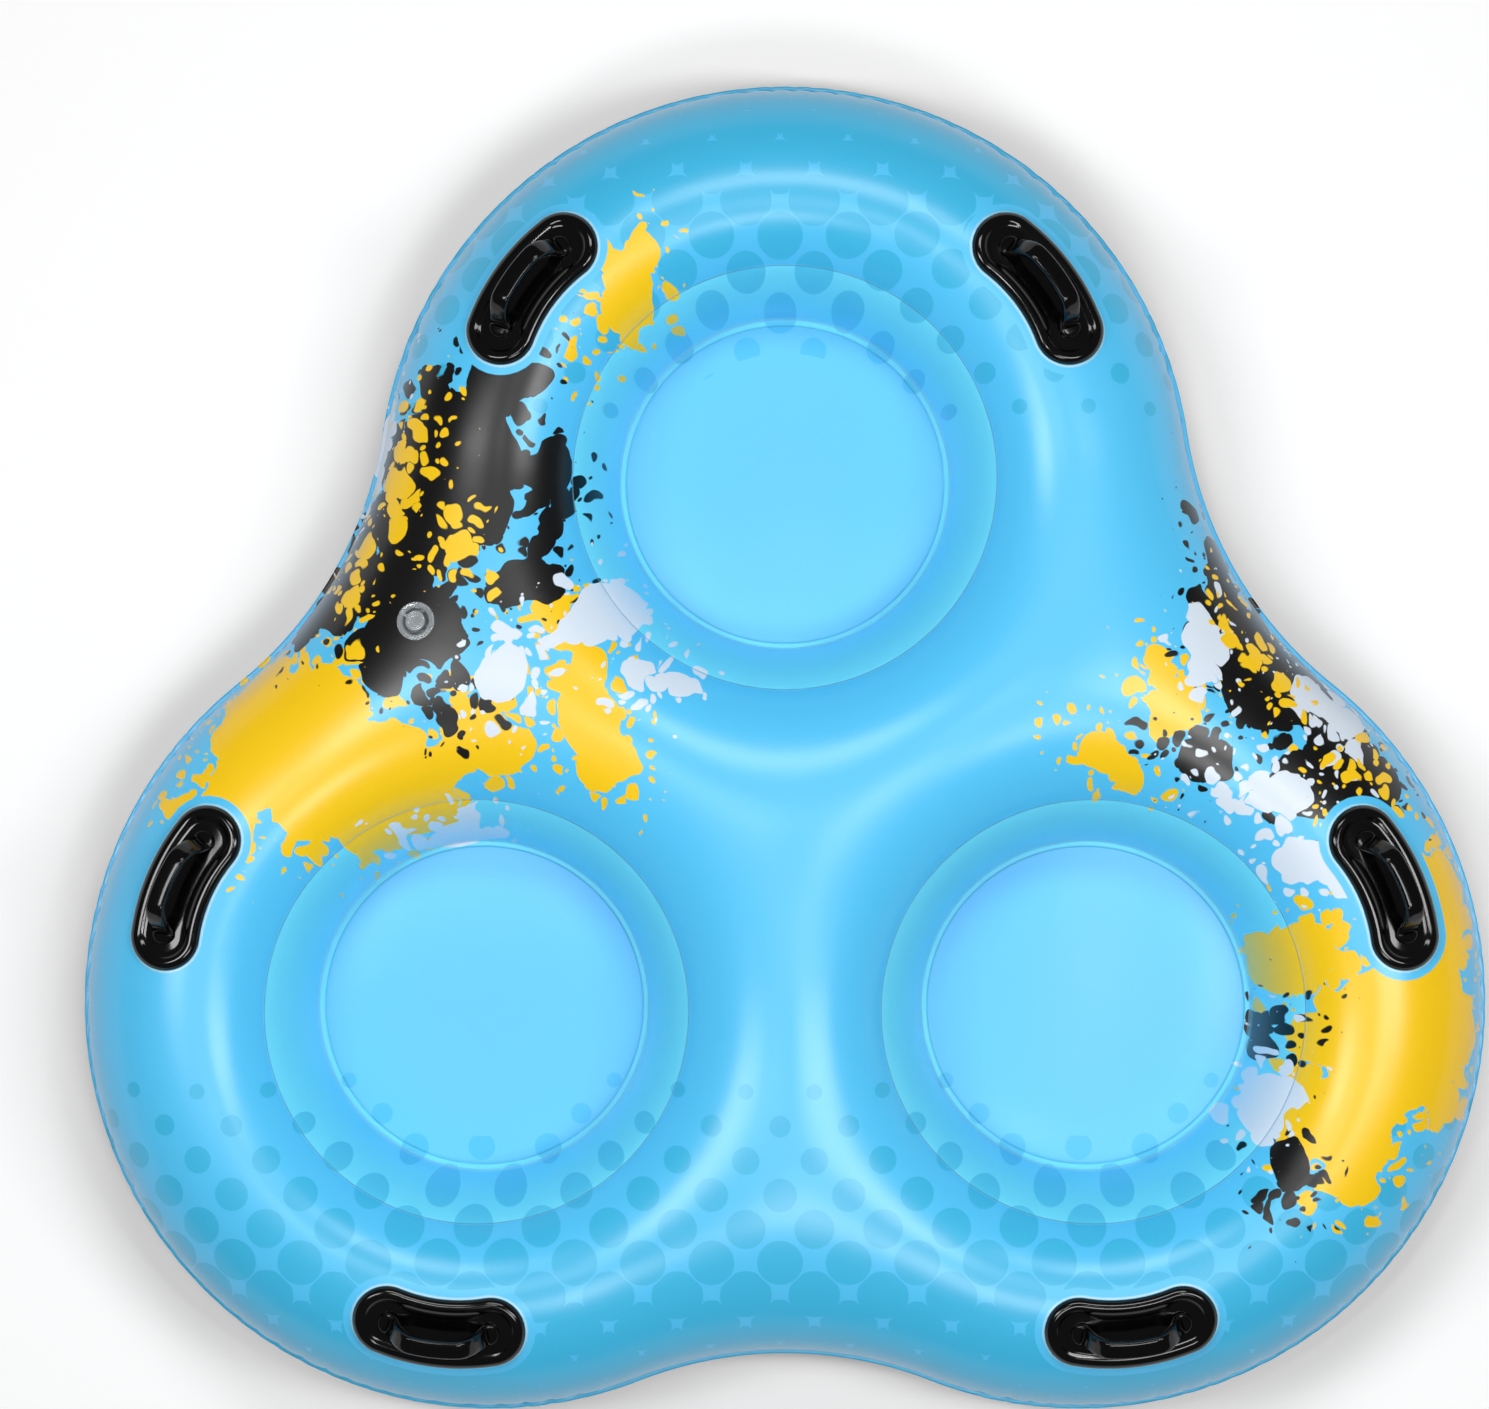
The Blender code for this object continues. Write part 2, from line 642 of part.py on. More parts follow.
wall, floor = wall_mesh(), floor_mesh()
sides = (("left", 1), ("right", -1))
pads = {side: pad_mesh(sign) for side, sign in sides}
grips = {side: grip_mesh(sign) for side, sign in sides}
sky = plastic("seat_wall", (0.14, 0.62, 0.97), 0.35)
pale = plastic("seat_floor", (0.20, 0.66, 0.97), 0.35)
soft_black = plastic("handle_pad", (0.010, 0.010, 0.011), 0.30)
hard_black = plastic("handle_grip", (0.008, 0.008, 0.009), 0.25)
for number in range(SEAT_COUNT):
    seat = make_empty(f"seat_{number + 1}", hub, (0, 0, 0), SEAT_STEP * number)
    thicken(make_object(f"seat_wall_{number + 1}", wall, sky, seat), WALL_FILM)
    thicken(make_object(f"seat_floor_{number + 1}", floor, pale, seat), FLOOR_FILM)
    for side, _ in sides:
        make_object(f"handle_pad_{number + 1}_{side}", pads[side], soft_black, seat)
        make_object(f"handle_grip_{number + 1}_{side}", grips[side], hard_black, seat)

clear_vinyl = plastic("clear_vinyl", (0.80, 0.84, 0.86), 0.12, 0.5)
valve = valve_frame()
make_valve_body(hub, valve, clear_vinyl)
make_valve_cap(hub, valve, clear_vinyl)
make_valve_flap(hub, valve, clear_vinyl)
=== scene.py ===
import math

import bpy
import numpy as np
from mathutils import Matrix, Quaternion, Vector
from mathutils.geometry import delaunay_2d_cdt


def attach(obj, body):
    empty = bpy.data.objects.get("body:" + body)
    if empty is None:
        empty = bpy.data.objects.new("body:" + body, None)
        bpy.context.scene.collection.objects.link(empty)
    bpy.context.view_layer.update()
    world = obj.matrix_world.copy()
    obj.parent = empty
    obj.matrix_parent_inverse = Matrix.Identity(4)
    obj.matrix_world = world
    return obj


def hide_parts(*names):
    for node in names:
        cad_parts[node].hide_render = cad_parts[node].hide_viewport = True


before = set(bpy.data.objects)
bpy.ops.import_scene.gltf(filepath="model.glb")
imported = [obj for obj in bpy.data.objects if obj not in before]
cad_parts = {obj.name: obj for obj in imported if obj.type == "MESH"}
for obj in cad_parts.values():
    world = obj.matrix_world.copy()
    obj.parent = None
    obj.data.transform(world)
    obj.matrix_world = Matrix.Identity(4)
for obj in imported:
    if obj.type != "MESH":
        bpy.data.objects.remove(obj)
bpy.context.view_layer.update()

scene = bpy.context.scene

# The tube's plan and heights, in metres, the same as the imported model's
tube = {
    "seats": 3,
    "firstAxis": math.radians(90),  # the way from the hub to the first seat
    "lobeReach": 0.455,  # from the hub to the middle of a lobe's arc
    "lobeRadius": 0.5465,
    "waistRadius": 0.537,
    "lipWidth": 0.007,
    "lip": 0.0069,  # what is left of the welded lip once it is trimmed
    "seatReach": 0.4705,  # from the hub to the middle of a well
    "floorRadius": 0.222,
    "ringRadius": 0.280,  # where a well's wall is welded to the top film
    "seamHeight": 0.130,
    "floorHeight": 0.060,
    "crestHeight": 0.295,
    "bellyDepth": 0.108,  # how far the belly would sag below the welds if no ground were there
    "contactBlend": 0.006,  # how softly the belly comes down on the ground
    "weldFade": 0.040,  # how soon the skin forgets the height of the nearest weld
    "rimInfluence": 0.580,  # how far in from the rim the film still feels that weld
    "film": 0.0006,
    "bottomFilm": 0.0008,
    "gap": 0.0003,  # left between two films where they are welded
    "creaseDepth": 0.0034,  # how far the ring weld draws the skin down
    "creaseReach": 0.018,
}
# Folds that the flat-cut film makes where it is drawn in round a curved weld
pucker = {
    "pitch": 0.035,
    "depth": 0.0030,
    "peak": 0.020,  # where a fold is deepest, along the skin from the weld
    "fade": 0.12,  # length over which the folds die out towards a waist
    "drifts": ((0.33, 13, 1.3), (0.2, 31, 0.4)),  # size, beat and start of the waves that space them unevenly
    "strengths": (0.65, 0.35, 19, 2),  # mean, swing, beat and start
    "lipPull": 0.0009,
    "lipWave": 0.0007,
}
seatStep = 2 * math.pi / tube["seats"]
lobeAxes = [tube["firstAxis"] + seatStep * n for n in range(tube["seats"])]
weldLobe = tube["lobeRadius"] - tube["lipWidth"]
weldWaist = tube["waistRadius"] + tube["lipWidth"]
waistReach = tube["lobeReach"] * math.cos(seatStep / 2) + math.sqrt(
    (tube["lobeRadius"] + tube["waistRadius"]) ** 2
    - (tube["lobeReach"] * math.sin(seatStep / 2)) ** 2)
lobeSweep = math.atan2(
    waistReach * math.sin(seatStep / 2),
    waistReach * math.cos(seatStep / 2) - tube["lobeReach"])
waistSweep = lobeSweep - seatStep / 2
hubY = -(tube["lobeReach"] - tube["lobeReach"] * math.cos(seatStep / 2)) / 2
meanWeld = (tube["seamHeight"] + tube["floorHeight"]) / 2
tiny = 1e-9


def polar(radius, angle):
    return radius * math.cos(angle), radius * math.sin(angle)


seatCentres = [polar(tube["seatReach"], axis) for axis in lobeAxes]


def smooth(value):
    value = np.clip(value, 0, 1)
    return value * value * (3 - 2 * value)


# Distance inward from the rim weld, the way out, length along the rim, and how fully the folds show there
def rimPlace(x, y):
    near = np.full(x.shape, tube["rimInfluence"])
    outX, outY, along, bend = (np.zeros(x.shape) for _ in range(4))
    for number, axis in enumerate(lobeAxes):
        for centre, turned, radius, sweep, sign in (
                (polar(tube["lobeReach"], axis), axis, weldLobe, lobeSweep, 1),
                (polar(waistReach, axis + seatStep / 2), axis + seatStep / 2 + math.pi,
                 weldWaist, waistSweep, -1)):
            dx, dy = x - centre[0], y - centre[1]
            reach = np.maximum(np.hypot(dx, dy), tiny)
            turn = (np.arctan2(dy, dx) - turned + math.pi) % (2 * math.pi) - math.pi
            found = sign * (radius - reach)
            hit = (np.abs(turn) <= sweep + tiny) & (found < near)
            near = np.where(hit, found, near)
            outX = np.where(hit, sign * dx / reach, outX)
            outY = np.where(hit, sign * dy / reach, outY)
            along = np.where(hit, turn * radius + number, along)
            held = smooth((sweep - np.abs(turn)) * radius / pucker["fade"])
            bend = np.where(hit, held * (sign > 0), bend)
    return near, outX, outY, along, bend


# How much room the film has to swell between its welds, and the height that those welds hold it at
def roomAndWeld(x, y):
    rim = np.maximum(rimPlace(x, y)[0], tiny)
    hold = np.maximum(1 - (rim / tube["rimInfluence"]) ** 2, 0) ** 2 / rim
    weld = meanWeld + (tube["seamHeight"] - meanWeld) * np.exp(-rim / tube["weldFade"])
    for axis in lobeAxes:
        seatX, seatY = polar(tube["seatReach"], axis)
        well = np.maximum(np.hypot(x - seatX, y - seatY) - tube["floorRadius"], tiny)
        hold = hold + 1 / well
        weld = weld + (tube["floorHeight"] - meanWeld) * np.exp(-well / tube["weldFade"])
    return 1 / hold, weld


tubeWidth = tube["lobeReach"] + weldLobe - tube["seatReach"] - tube["floorRadius"]
tipReach = tube["seatReach"] + tube["floorRadius"] + tubeWidth / 2
tipRoom = float(roomAndWeld(*(np.array([v]) for v in polar(tipReach, tube["firstAxis"])))[0][0])
topSwell = (tube["crestHeight"] - meanWeld) ** 2 / tipRoom
bellySwell = tube["bellyDepth"] ** 2 / tipRoom


def topHeight(x, y):
    room, weld = roomAndWeld(x, y)
    return weld + np.sqrt(topSwell * room)


def bellyHeight(x, y):
    room, weld = roomAndWeld(x, y)
    free = weld - np.sqrt(bellySwell * room)
    blend = tube["contactBlend"]
    return np.where(free >= blend, free, np.maximum(free + blend, 0) ** 2 / (4 * blend))


# The weld between the top film and a well's wall draws both into a shallow valley
def creaseAt(plan):
    away = [np.abs(np.hypot(*(plan - centre).T) - tube["ringRadius"]) for centre in seatCentres]
    return tube["creaseDepth"] * np.exp(-np.min(away, axis=0) / tube["creaseReach"])


def normalOf(height, x, y, probe=1e-5):
    slopeX = (height(x + probe, y) - height(x - probe, y)) / (2 * probe)
    slopeY = (height(x, y + probe) - height(x, y - probe)) / (2 * probe)
    found = np.stack([-slopeX, -slopeY, np.ones(x.shape)], axis=-1)
    return found / np.linalg.norm(found, axis=-1, keepdims=True)


def foldAt(along):
    phase = along / pucker["pitch"]
    for size, beat, start in pucker["drifts"]:
        phase = phase + size * np.sin(along * beat + start)
    mean, swing, beat, start = pucker["strengths"]
    strength = mean + swing * np.sin(along * beat + start)
    return strength * (1 - np.abs(np.sin(math.pi * phase))) ** 2, phase


# Length along the skin from the weld to a place this far inside it, at a lobe's tip
insets = np.linspace(0, tubeWidth / 2, 4000)
insets = insets ** 2 / insets[-1]
tipX, tipY = polar(tube["lobeReach"] + weldLobe, tube["firstAxis"])
tipHeights = topHeight(np.full(insets.shape, tipX), tipY - insets)
tipLengths = np.concatenate([[0], np.cumsum(np.hypot(np.diff(insets), np.diff(tipHeights)))])


# A sheet's points on its computed height, with the folds drawn in and the lip laid flat
def skinPoints(x, y, height, upward):
    x, y = np.asarray(x, float), np.asarray(y, float)
    rim, outX, outY, along, bend = rimPlace(x, y)
    inside = rim > tiny
    z = height(x, y)
    normal = normalOf(height, x, y) * upward
    film = tube["film"] if upward > 0 else tube["bottomFilm"]
    lipZ = tube["seamHeight"] + upward * (tube["gap"] / 2 + film)
    fold, phase = foldAt(along)
    length = np.interp(rim, insets, tipLengths)
    away = length / pucker["peak"]
    depth = pucker["depth"] * bend * fold * away * np.exp(1 - away)
    points = np.stack([x, y, np.where(inside, z, lipZ)], axis=-1)
    points -= normal * (depth * inside)[..., None]
    # The lip is drawn in at each fold and waves up and down with it
    outer = np.clip(-rim / tube["lip"], 0, 1)
    wave = pucker["lipWave"] * np.sin(2 * math.pi * phase) * bend * outer
    pull = pucker["lipPull"] * fold * bend * outer
    points += np.stack([-outX * pull, -outY * pull, wave], axis=-1)
    return points


# Loops and bands that the skins are meshed with
meshing = {
    "lobeSteps": 340,
    "waistSteps": 60,
    "ringCount": 256,
    "lipShares": (1, 0.6, 0.25, 0),
    "rimStep": 0.008,  # the rows by the rim climb the skin by about this
    "rimShares": (1, 2, 3, 4, 5, 6, 7, 8, 9.2, 10.5, 12, 13.6, 15.4, 17.4, 19.6, 22, 24.6, 27.4),
    "fillPitch": 0.013,
    "fillClear": 0.6,  # share of the pitch that the filling keeps from a loop
}


def arc(centre, radius, turns):
    return np.array(centre) + np.stack([radius * np.cos(turns), radius * np.sin(turns)], axis=-1)


def ring(centre, radius, count=meshing["ringCount"]):
    return arc(centre, radius, 2 * math.pi * np.arange(count) / count)


def rimLoop(inset):
    places = []
    for axis in lobeAxes:
        waistAxis = axis + seatStep / 2
        for centre, radius, start, sweep, steps in (
                (polar(tube["lobeReach"], axis), weldLobe - inset, axis - lobeSweep, lobeSweep,
                 meshing["lobeSteps"]),
                (polar(waistReach, waistAxis), weldWaist + inset, waistAxis + math.pi + waistSweep,
                 -waistSweep, meshing["waistSteps"])):
            places.append(arc(centre, radius, start + 2 * sweep * np.arange(steps) / steps))
    return np.concatenate(places)


def lattice(reach, pitch):
    rows = int(reach / (pitch * math.sin(math.pi / 3))) + 1
    columns = int(reach / pitch) + 2
    row, column = np.meshgrid(np.arange(-rows, rows + 1), np.arange(-columns, columns + 1), indexing="ij")
    places = np.stack([(column + (row % 2) / 2) * pitch, row * pitch * math.sin(math.pi / 3)], axis=-1)
    return places.reshape(-1, 2)


# Faces between neighbouring loops, the same with both ends shut, the fan that closes a disc, and the
# filling between loops
def bandFaces(loops):
    faces = []
    for low, high in zip(loops, loops[1:]):
        for i in range(len(low)):
            j = (i + 1) % len(low)
            faces.append((low[i], low[j], high[j], high[i]))
    return faces


def rodFaces(loops):
    return bandFaces(loops) + [tuple(reversed(loops[0])), tuple(loops[-1])]


def fanFaces(loop, middle):
    return [(loop[i], loop[(i + 1) % len(loop)], middle) for i in range(len(loop))]


def fillFaces(plan, loops, loose, holes):
    picked = [i for loop in loops for i in loop] + list(loose)
    local = {index: n for n, index in enumerate(picked)}
    edges = [(local[a], local[b]) for loop in loops for a, b in zip(loop, loop[1:] + loop[:1])]
    flat = [Vector(plan[i]) for i in picked]
    _, _, faces, origins, _, _ = delaunay_2d_cdt(flat, edges, [], 1, tiny)
    kept = []
    for face in faces:
        corners = [origins[corner][0] for corner in face]
        a, b, c = (flat[corner] for corner in corners)
        middle = (a + b + c) / 3
        if any((middle - Vector(hole)).length < radius for hole, radius in holes):
            continue
        if (b - a).cross(c - a) < 0:
            corners.reverse()
        kept.append(tuple(picked[corner] for corner in corners))
    return kept


class Sheet:
    def __init__(self):
        self.plan, self.faces, self.count = [], [], 0

    def add(self, places):
        self.plan.append(places)
        start, self.count = self.count, self.count + len(places)
        return list(range(start, self.count))

    def band(self, loops):
        rows = [self.add(loop) for loop in loops]
        self.faces += bandFaces(rows)
        return rows

    def places(self):
        return np.concatenate(self.plan)


rimRows = [-tube["lip"] * share for share in meshing["lipShares"]] + [
    (meshing["rimStep"] * share) ** 2 / topSwell for share in meshing["rimShares"]]


def fillLattice(rimInset, seatRadius, hole):
    places = lattice(tube["lobeReach"] + tube["lobeRadius"], meshing["fillPitch"])
    spare = meshing["fillClear"] * meshing["fillPitch"]
    clear = rimPlace(places[:, 0], places[:, 1])[0] > rimInset + spare
    for centre in seatCentres:
        clear &= np.hypot(*(places - centre).T) > seatRadius + spare
    if hole:
        clear &= np.hypot(*(places - hole[0]).T) > hole[1] + spare
    return places[clear]


# sRGB hex to linear colour
def linear(text):
    parts = [int(text[i:i + 2], 16) / 255 for i in (1, 3, 5)]
    return tuple(c / 12.92 if c <= 0.04045 else ((c + 0.055) / 1.055) ** 2.4 for c in parts) + (1,)


def newObject(name, points, faces, material, attributes=(), flat=False):
    mesh = bpy.data.meshes.new(name)
    mesh.from_pydata([tuple(p) for p in points], [], faces)
    for title, kind, values in attributes:
        field = mesh.attributes.new(title, kind, "POINT")
        part = "vector" if kind == "FLOAT_VECTOR" else "value"
        field.data.foreach_set(part, np.asarray(values, np.float32).ravel())
    mesh.materials.append(material)
    if not flat:
        mesh.shade_smooth()
    piece = bpy.data.objects.new(name, mesh)
    scene.collection.objects.link(piece)
    return piece


def thicken(piece, film):
    change = piece.modifiers.new("film", "SOLIDIFY")
    change.thickness = film
    change.offset = -1


def inWorld(points):
    return points + np.array([0, hubY, 0])


handle = {
    "placeShare": 0.649,  # how far it stands from a floor towards the rim
    "spread": math.radians(53.5),  # to either side of the way out from the hub
    "length": 0.230,
    "width": 0.091,
    "bendRadius": 0.250,
    "seatGap": 0.0008,  # between the pad and the skin
}
seatOffset = tube["seatReach"] - tube["lobeReach"]
handleReach = tube["floorRadius"] + handle["placeShare"] * (
    math.sqrt(weldLobe ** 2 - (seatOffset * math.sin(handle["spread"])) ** 2)
    - seatOffset * math.cos(handle["spread"]) - tube["floorRadius"])
handleEndTurn = (handle["length"] - handle["width"]) / 2 / handle["bendRadius"]
handleSides = (("left", 1), ("right", -1))


# The middle of the arc that a handle bends round, and the way it faces
def handleFrame(side, axis):
    facing = axis + side * handle["spread"]
    middle = np.array(polar(tube["seatReach"], axis)) + polar(handleReach - handle["bendRadius"], facing)
    return middle, facing


def padDistance(x, y):
    near = np.full(x.shape, 1.0)
    for axis in lobeAxes:
        for _, side in handleSides:
            middle, facing = handleFrame(side, axis)
            turn = (np.arctan2(y - middle[1], x - middle[0]) - facing + math.pi) % (2 * math.pi) - math.pi
            held = arc(middle, handle["bendRadius"], facing + np.clip(turn, -handleEndTurn, handleEndTurn))
            near = np.minimum(near, np.hypot(x - held[:, 0], y - held[:, 1]) - handle["width"] / 2)
    return near


# Where the paint splashes lie: centre, half sizes and turn in degrees, in the world's plan
splashes = {
    "yellow": [
        (-0.64, 0, 0.135, 0.105, -40), (-0.52, -0.06, 0.08, 0.065, 10), (-0.4, 0.01, 0.05, 0.045, 0),
        (-0.735, -0.085, 0.06, 0.05, 0), (-0.255, 0.04, 0.045, 0.075, 20), (-0.29, 0.16, 0.024, 0.028, 0),
        (-0.215, 0.59, 0.034, 0.056, -20), (0.8, -0.385, 0.115, 0.12, 15), (0.69, -0.29, 0.06, 0.045, -30),
        (0.725, -0.5, 0.06, 0.08, 20), (0.87, -0.25, 0.045, 0.09, 0), (0.5, 0.07, 0.022, 0.03, 20),
        (0.43, -0.01, 0.018, 0.034, 55),
    ],
    "black": [
        (-0.455, 0.345, 0.1, 0.14, -18), (-0.52, 0.185, 0.075, 0.09, 25), (-0.385, 0.47, 0.045, 0.06, -30),
        (-0.6, 0.24, 0.05, 0.08, -36), (-0.345, 0.23, 0.035, 0.03, 0), (-0.3, 0.345, 0.02, 0.035, 0),
        (-0.45, 0.07, 0.028, 0.024, 0), (0.64, 0.1, 0.07, 0.13, 28), (0.725, -0.02, 0.09, 0.065, -25),
        (0.59, 0.23, 0.02, 0.06, 22), (0.55, 0, 0.03, 0.024, 0), (0.64, -0.37, 0.026, 0.02, 0),
        (0.66, -0.56, 0.022, 0.034, 0),
    ],
    "white": [
        (-0.235, 0.18, 0.04, 0.034, 20), (-0.355, 0.105, 0.03, 0.044, -30), (-0.575, 0.4, 0.02, 0.06, -16),
        (-0.45, -0.125, 0.036, 0.022, 10), (-0.17, 0.09, 0.024, 0.022, 0), (0.62, -0.06, 0.05, 0.03, -26),
        (0.725, 0.06, 0.03, 0.045, 20), (0.7, -0.15, 0.046, 0.026, -20), (0.63, -0.45, 0.026, 0.036, 0),
        (0.56, 0.14, 0.018, 0.03, 0),
    ],
    "specks": [
        (-0.5, 0.37, 0.03, 0.06, -18), (-0.58, 0.22, 0.022, 0.04, 0), (-0.43, 0.26, 0.02, 0.022, 0),
        (0.64, 0.11, 0.022, 0.06, 28), (0.76, -0.05, 0.026, 0.026, 0),
    ],
}
printing = {
    "spread": 0.55,  # share of the slope's extra length by which the flat print runs on outward
    "blot": 0.1,  # size in metres at which a splash's field rises by one
    "beyond": -3.0,  # the field far from any splash
    "cleanRadius": 0.228,  # splashes thin out over the rim of a floor and leave its middle clean
    "cleanFade": 0.03,
    "cleanDepth": 1.5,
    "lipReach": 1.0,  # a length that keeps the painted shade of the rim off the lip
}


def splashField(x, y, blobs):
    best = np.full(x.shape, printing["beyond"])
    for cx, cy, rx, ry, degrees in blobs:
        c, s = polar(1, math.radians(degrees))
        dx, dy = x - cx, y - cy
        u, v = (dx * c + dy * s) / rx, (-dx * s + dy * c) / ry
        best = np.maximum(best, (1 - np.hypot(u, v)) * math.sqrt(rx * ry) / printing["blot"])
    return best


# Attributes that the print, and the painted highlights and shade along edges, are drawn from: places and
# distances in metres, kept on the vertices
def printFields(plan):
    x, y = plan[:, 0], plan[:, 1]
    rim, outX, outY, _, _ = rimPlace(x, y)
    length = np.interp(rim, insets, tipLengths)
    shift = (tipLengths[-1] - insets[-1]) - (length - np.clip(rim, 0, insets[-1]))
    shift *= printing["spread"]
    place = np.stack([x + outX * shift, y + hubY + outY * shift, np.zeros(x.shape)], axis=-1)
    well = np.min([np.hypot(x - centre[0], y - centre[1]) for centre in seatCentres], axis=0)
    seam = np.where(rim < -tiny, printing["lipReach"], length)
    fields = [("printPlace", "FLOAT_VECTOR", place), ("padGap", "FLOAT", padDistance(x, y)),
              ("wellReach", "FLOAT", well), ("seamReach", "FLOAT", seam)]
    clean = smooth((printing["cleanRadius"] - well) / printing["cleanFade"]) * printing["cleanDepth"]
    for colour, blobs in splashes.items():
        fields.append((colour, "FLOAT", splashField(place[:, 0], place[:, 1], blobs) - clean))
    return fields


# Adds a node with its operation and settings, and links or sets its sockets
def add(tree, kind, sockets=(), operation=None, out=0, **settings):
    made = tree.nodes.new("ShaderNode" + kind)
    if operation:
        made.operation = operation
    for key, value in settings.items():
        setattr(made, key, value)
    for key, value in (sockets.items() if isinstance(sockets, dict) else enumerate(sockets)):
        if isinstance(value, bpy.types.NodeSocket):
            tree.links.new(value, made.inputs[key])
        else:
            made.inputs[key].default_value = value
    return made if out is None else made.outputs[out]


def newMaterial(name, roughness, ior):
    material = bpy.data.materials.new(name)
    material.use_nodes = True
    tree = material.node_tree
    tree.nodes.clear()
    shader = add(tree, "BsdfPrincipled", {"Roughness": roughness, "IOR": ior}, out=None)
    add(tree, "OutputMaterial", [shader.outputs[0]], out=None)
    return material, tree, shader


# Lays a colour over what lies under it, wherever a distance is above zero: a printed ink, or a painted highlight
# or painted shade
def inkOver(tree, under, distance, softness, strength, ink):
    mask = add(tree, "MapRange",
               {"Value": distance, "From Min": -softness, "From Max": softness, "To Max": strength})
    return add(tree, "Mix", {0: mask, 6: under, 7: linear(ink)}, out=2, data_type="RGBA")


vinyl = {
    "sky": "#57CAFC",
    "skyWallLightened": "#74E2FF",
    "skyFloorLightened": "#64C9FF",
    "dots": "#3CBAE6",
    "yellow": "#FFCF14",
    "black": "#040406",
    "white": "#DDE9F6",
    "edge": "#C4EEFF",  # pale: painted highlight along cut edges and beads, and the glue round each pad
    "deep": "#2192C6",  # painted shade: darker towards the rim, and in the groove where a wall meets its floor
    "roughness": 0.288,
    "ior": 1.53,  # plasticised PVC
    # how strongly each piece mirrors, as its Specular IOR Level
    "specular": {"top": 0.50, "wall": 0.30, "floor": 0.40, "bottom": 0.40, "pad": 0.38, "grip": 0.30},
    "unevenness": (9.0, 0.0006),  # slow waves of the film, 110 mm apart: beats in a metre and rise in metres
    "grain": (420.0, 0.00003),  # the rollers' grain, drawn 2.4 mm wide, coarser than life, so that it shows
    "wear": (38.0, 0.02),  # scuffs about 26 mm wide: beats in a metre, and how far the roughness strays
}
halftone = {
    "start": 0.41,  # metres from the middle line
    "first": 0.0066,  # radius of the first dots
    "growth": 0.088,  # of the radius for each metre further out
    "step": 0.0636,  # between two dots along a row that runs at 45 degrees
    "phase": (-0.771, -0.631),
    "edge": 0.0007,  # softness of a dot's outline
    # share of the dots' ink on each piece; on the walls it is lowered, a painted lightening that offsets the
    # darker, bluer bounce light there
    "ink": {"top": 0.85, "wall": 0.6, "floor": 0.7},
    "floorPrint": 0.178,  # inside this radius the floor is left plain
}
splash = {
    # field, ink: the order in which they are printed
    "layers": (("yellow", "yellow"), ("black", "black"), ("white", "white"), ("specks", "yellow")),
    "swirl": 24.0,  # beats in a metre of the flow that bends the blots
    "swirlReach": 0.034,
    "seedStep": (3.13, 1.71),  # moves each ink to a place of its own in the pattern
    "drops": (0.046, 0.021),  # sizes of the cells that hold one drop each
    "dropShape": (-1.6, 0.7, 0.9, 0.13),  # by distance, by chance, by field, and everywhere
    "dropCrowd": 0.15,  # inside a blot the drops grow no further than this field makes them
    "dropEdge": 0.001,
    "lobe": 0.075,  # size of the rounded lobes of a blot
    "lobeBlend": 0.35,
    "lobeShape": (1.6, -1.5, 0.70),  # by field, by distance, and everywhere
    "lobeEdge": 0.008,
}
# Bands along an edge: how far they reach, how soft, how strong, in which colour; the margin is print and the
# glue the film's own, while cut edge, bead, groove and rim are painted highlight and painted shade
bands = {
    "margin": (0.013, 0.0006, 1.0, "sky"),  # left plain round each handle
    "glue": (0.0030, 0.0010, 0.75, "edge"),
    "cutEdgeHighlight": (tube["ringRadius"] + 0.0016, 0.0006, 0.25, "edge"),  # painted highlight along the cut edge of the top film, at the ring weld
    # painted shade: the top film is drawn darker towards the rim weld, fading out about 110 mm along the skin,
    # where the steep skin turns from the light
    "rim": (0.055, 0.055, 0.62, "deep"),
    "beadRadius": 0.2226,  # the two pressed lines where a wall meets its floor, drawn as a painted highlight on the bead and painted shade in the groove
    "bead": (0.0009, 0.0006, 0.35, "edge"),
    "grooveRadius": 0.2156,
    "groove": (0.0009, 0.0006, 0.55, "deep"),
}
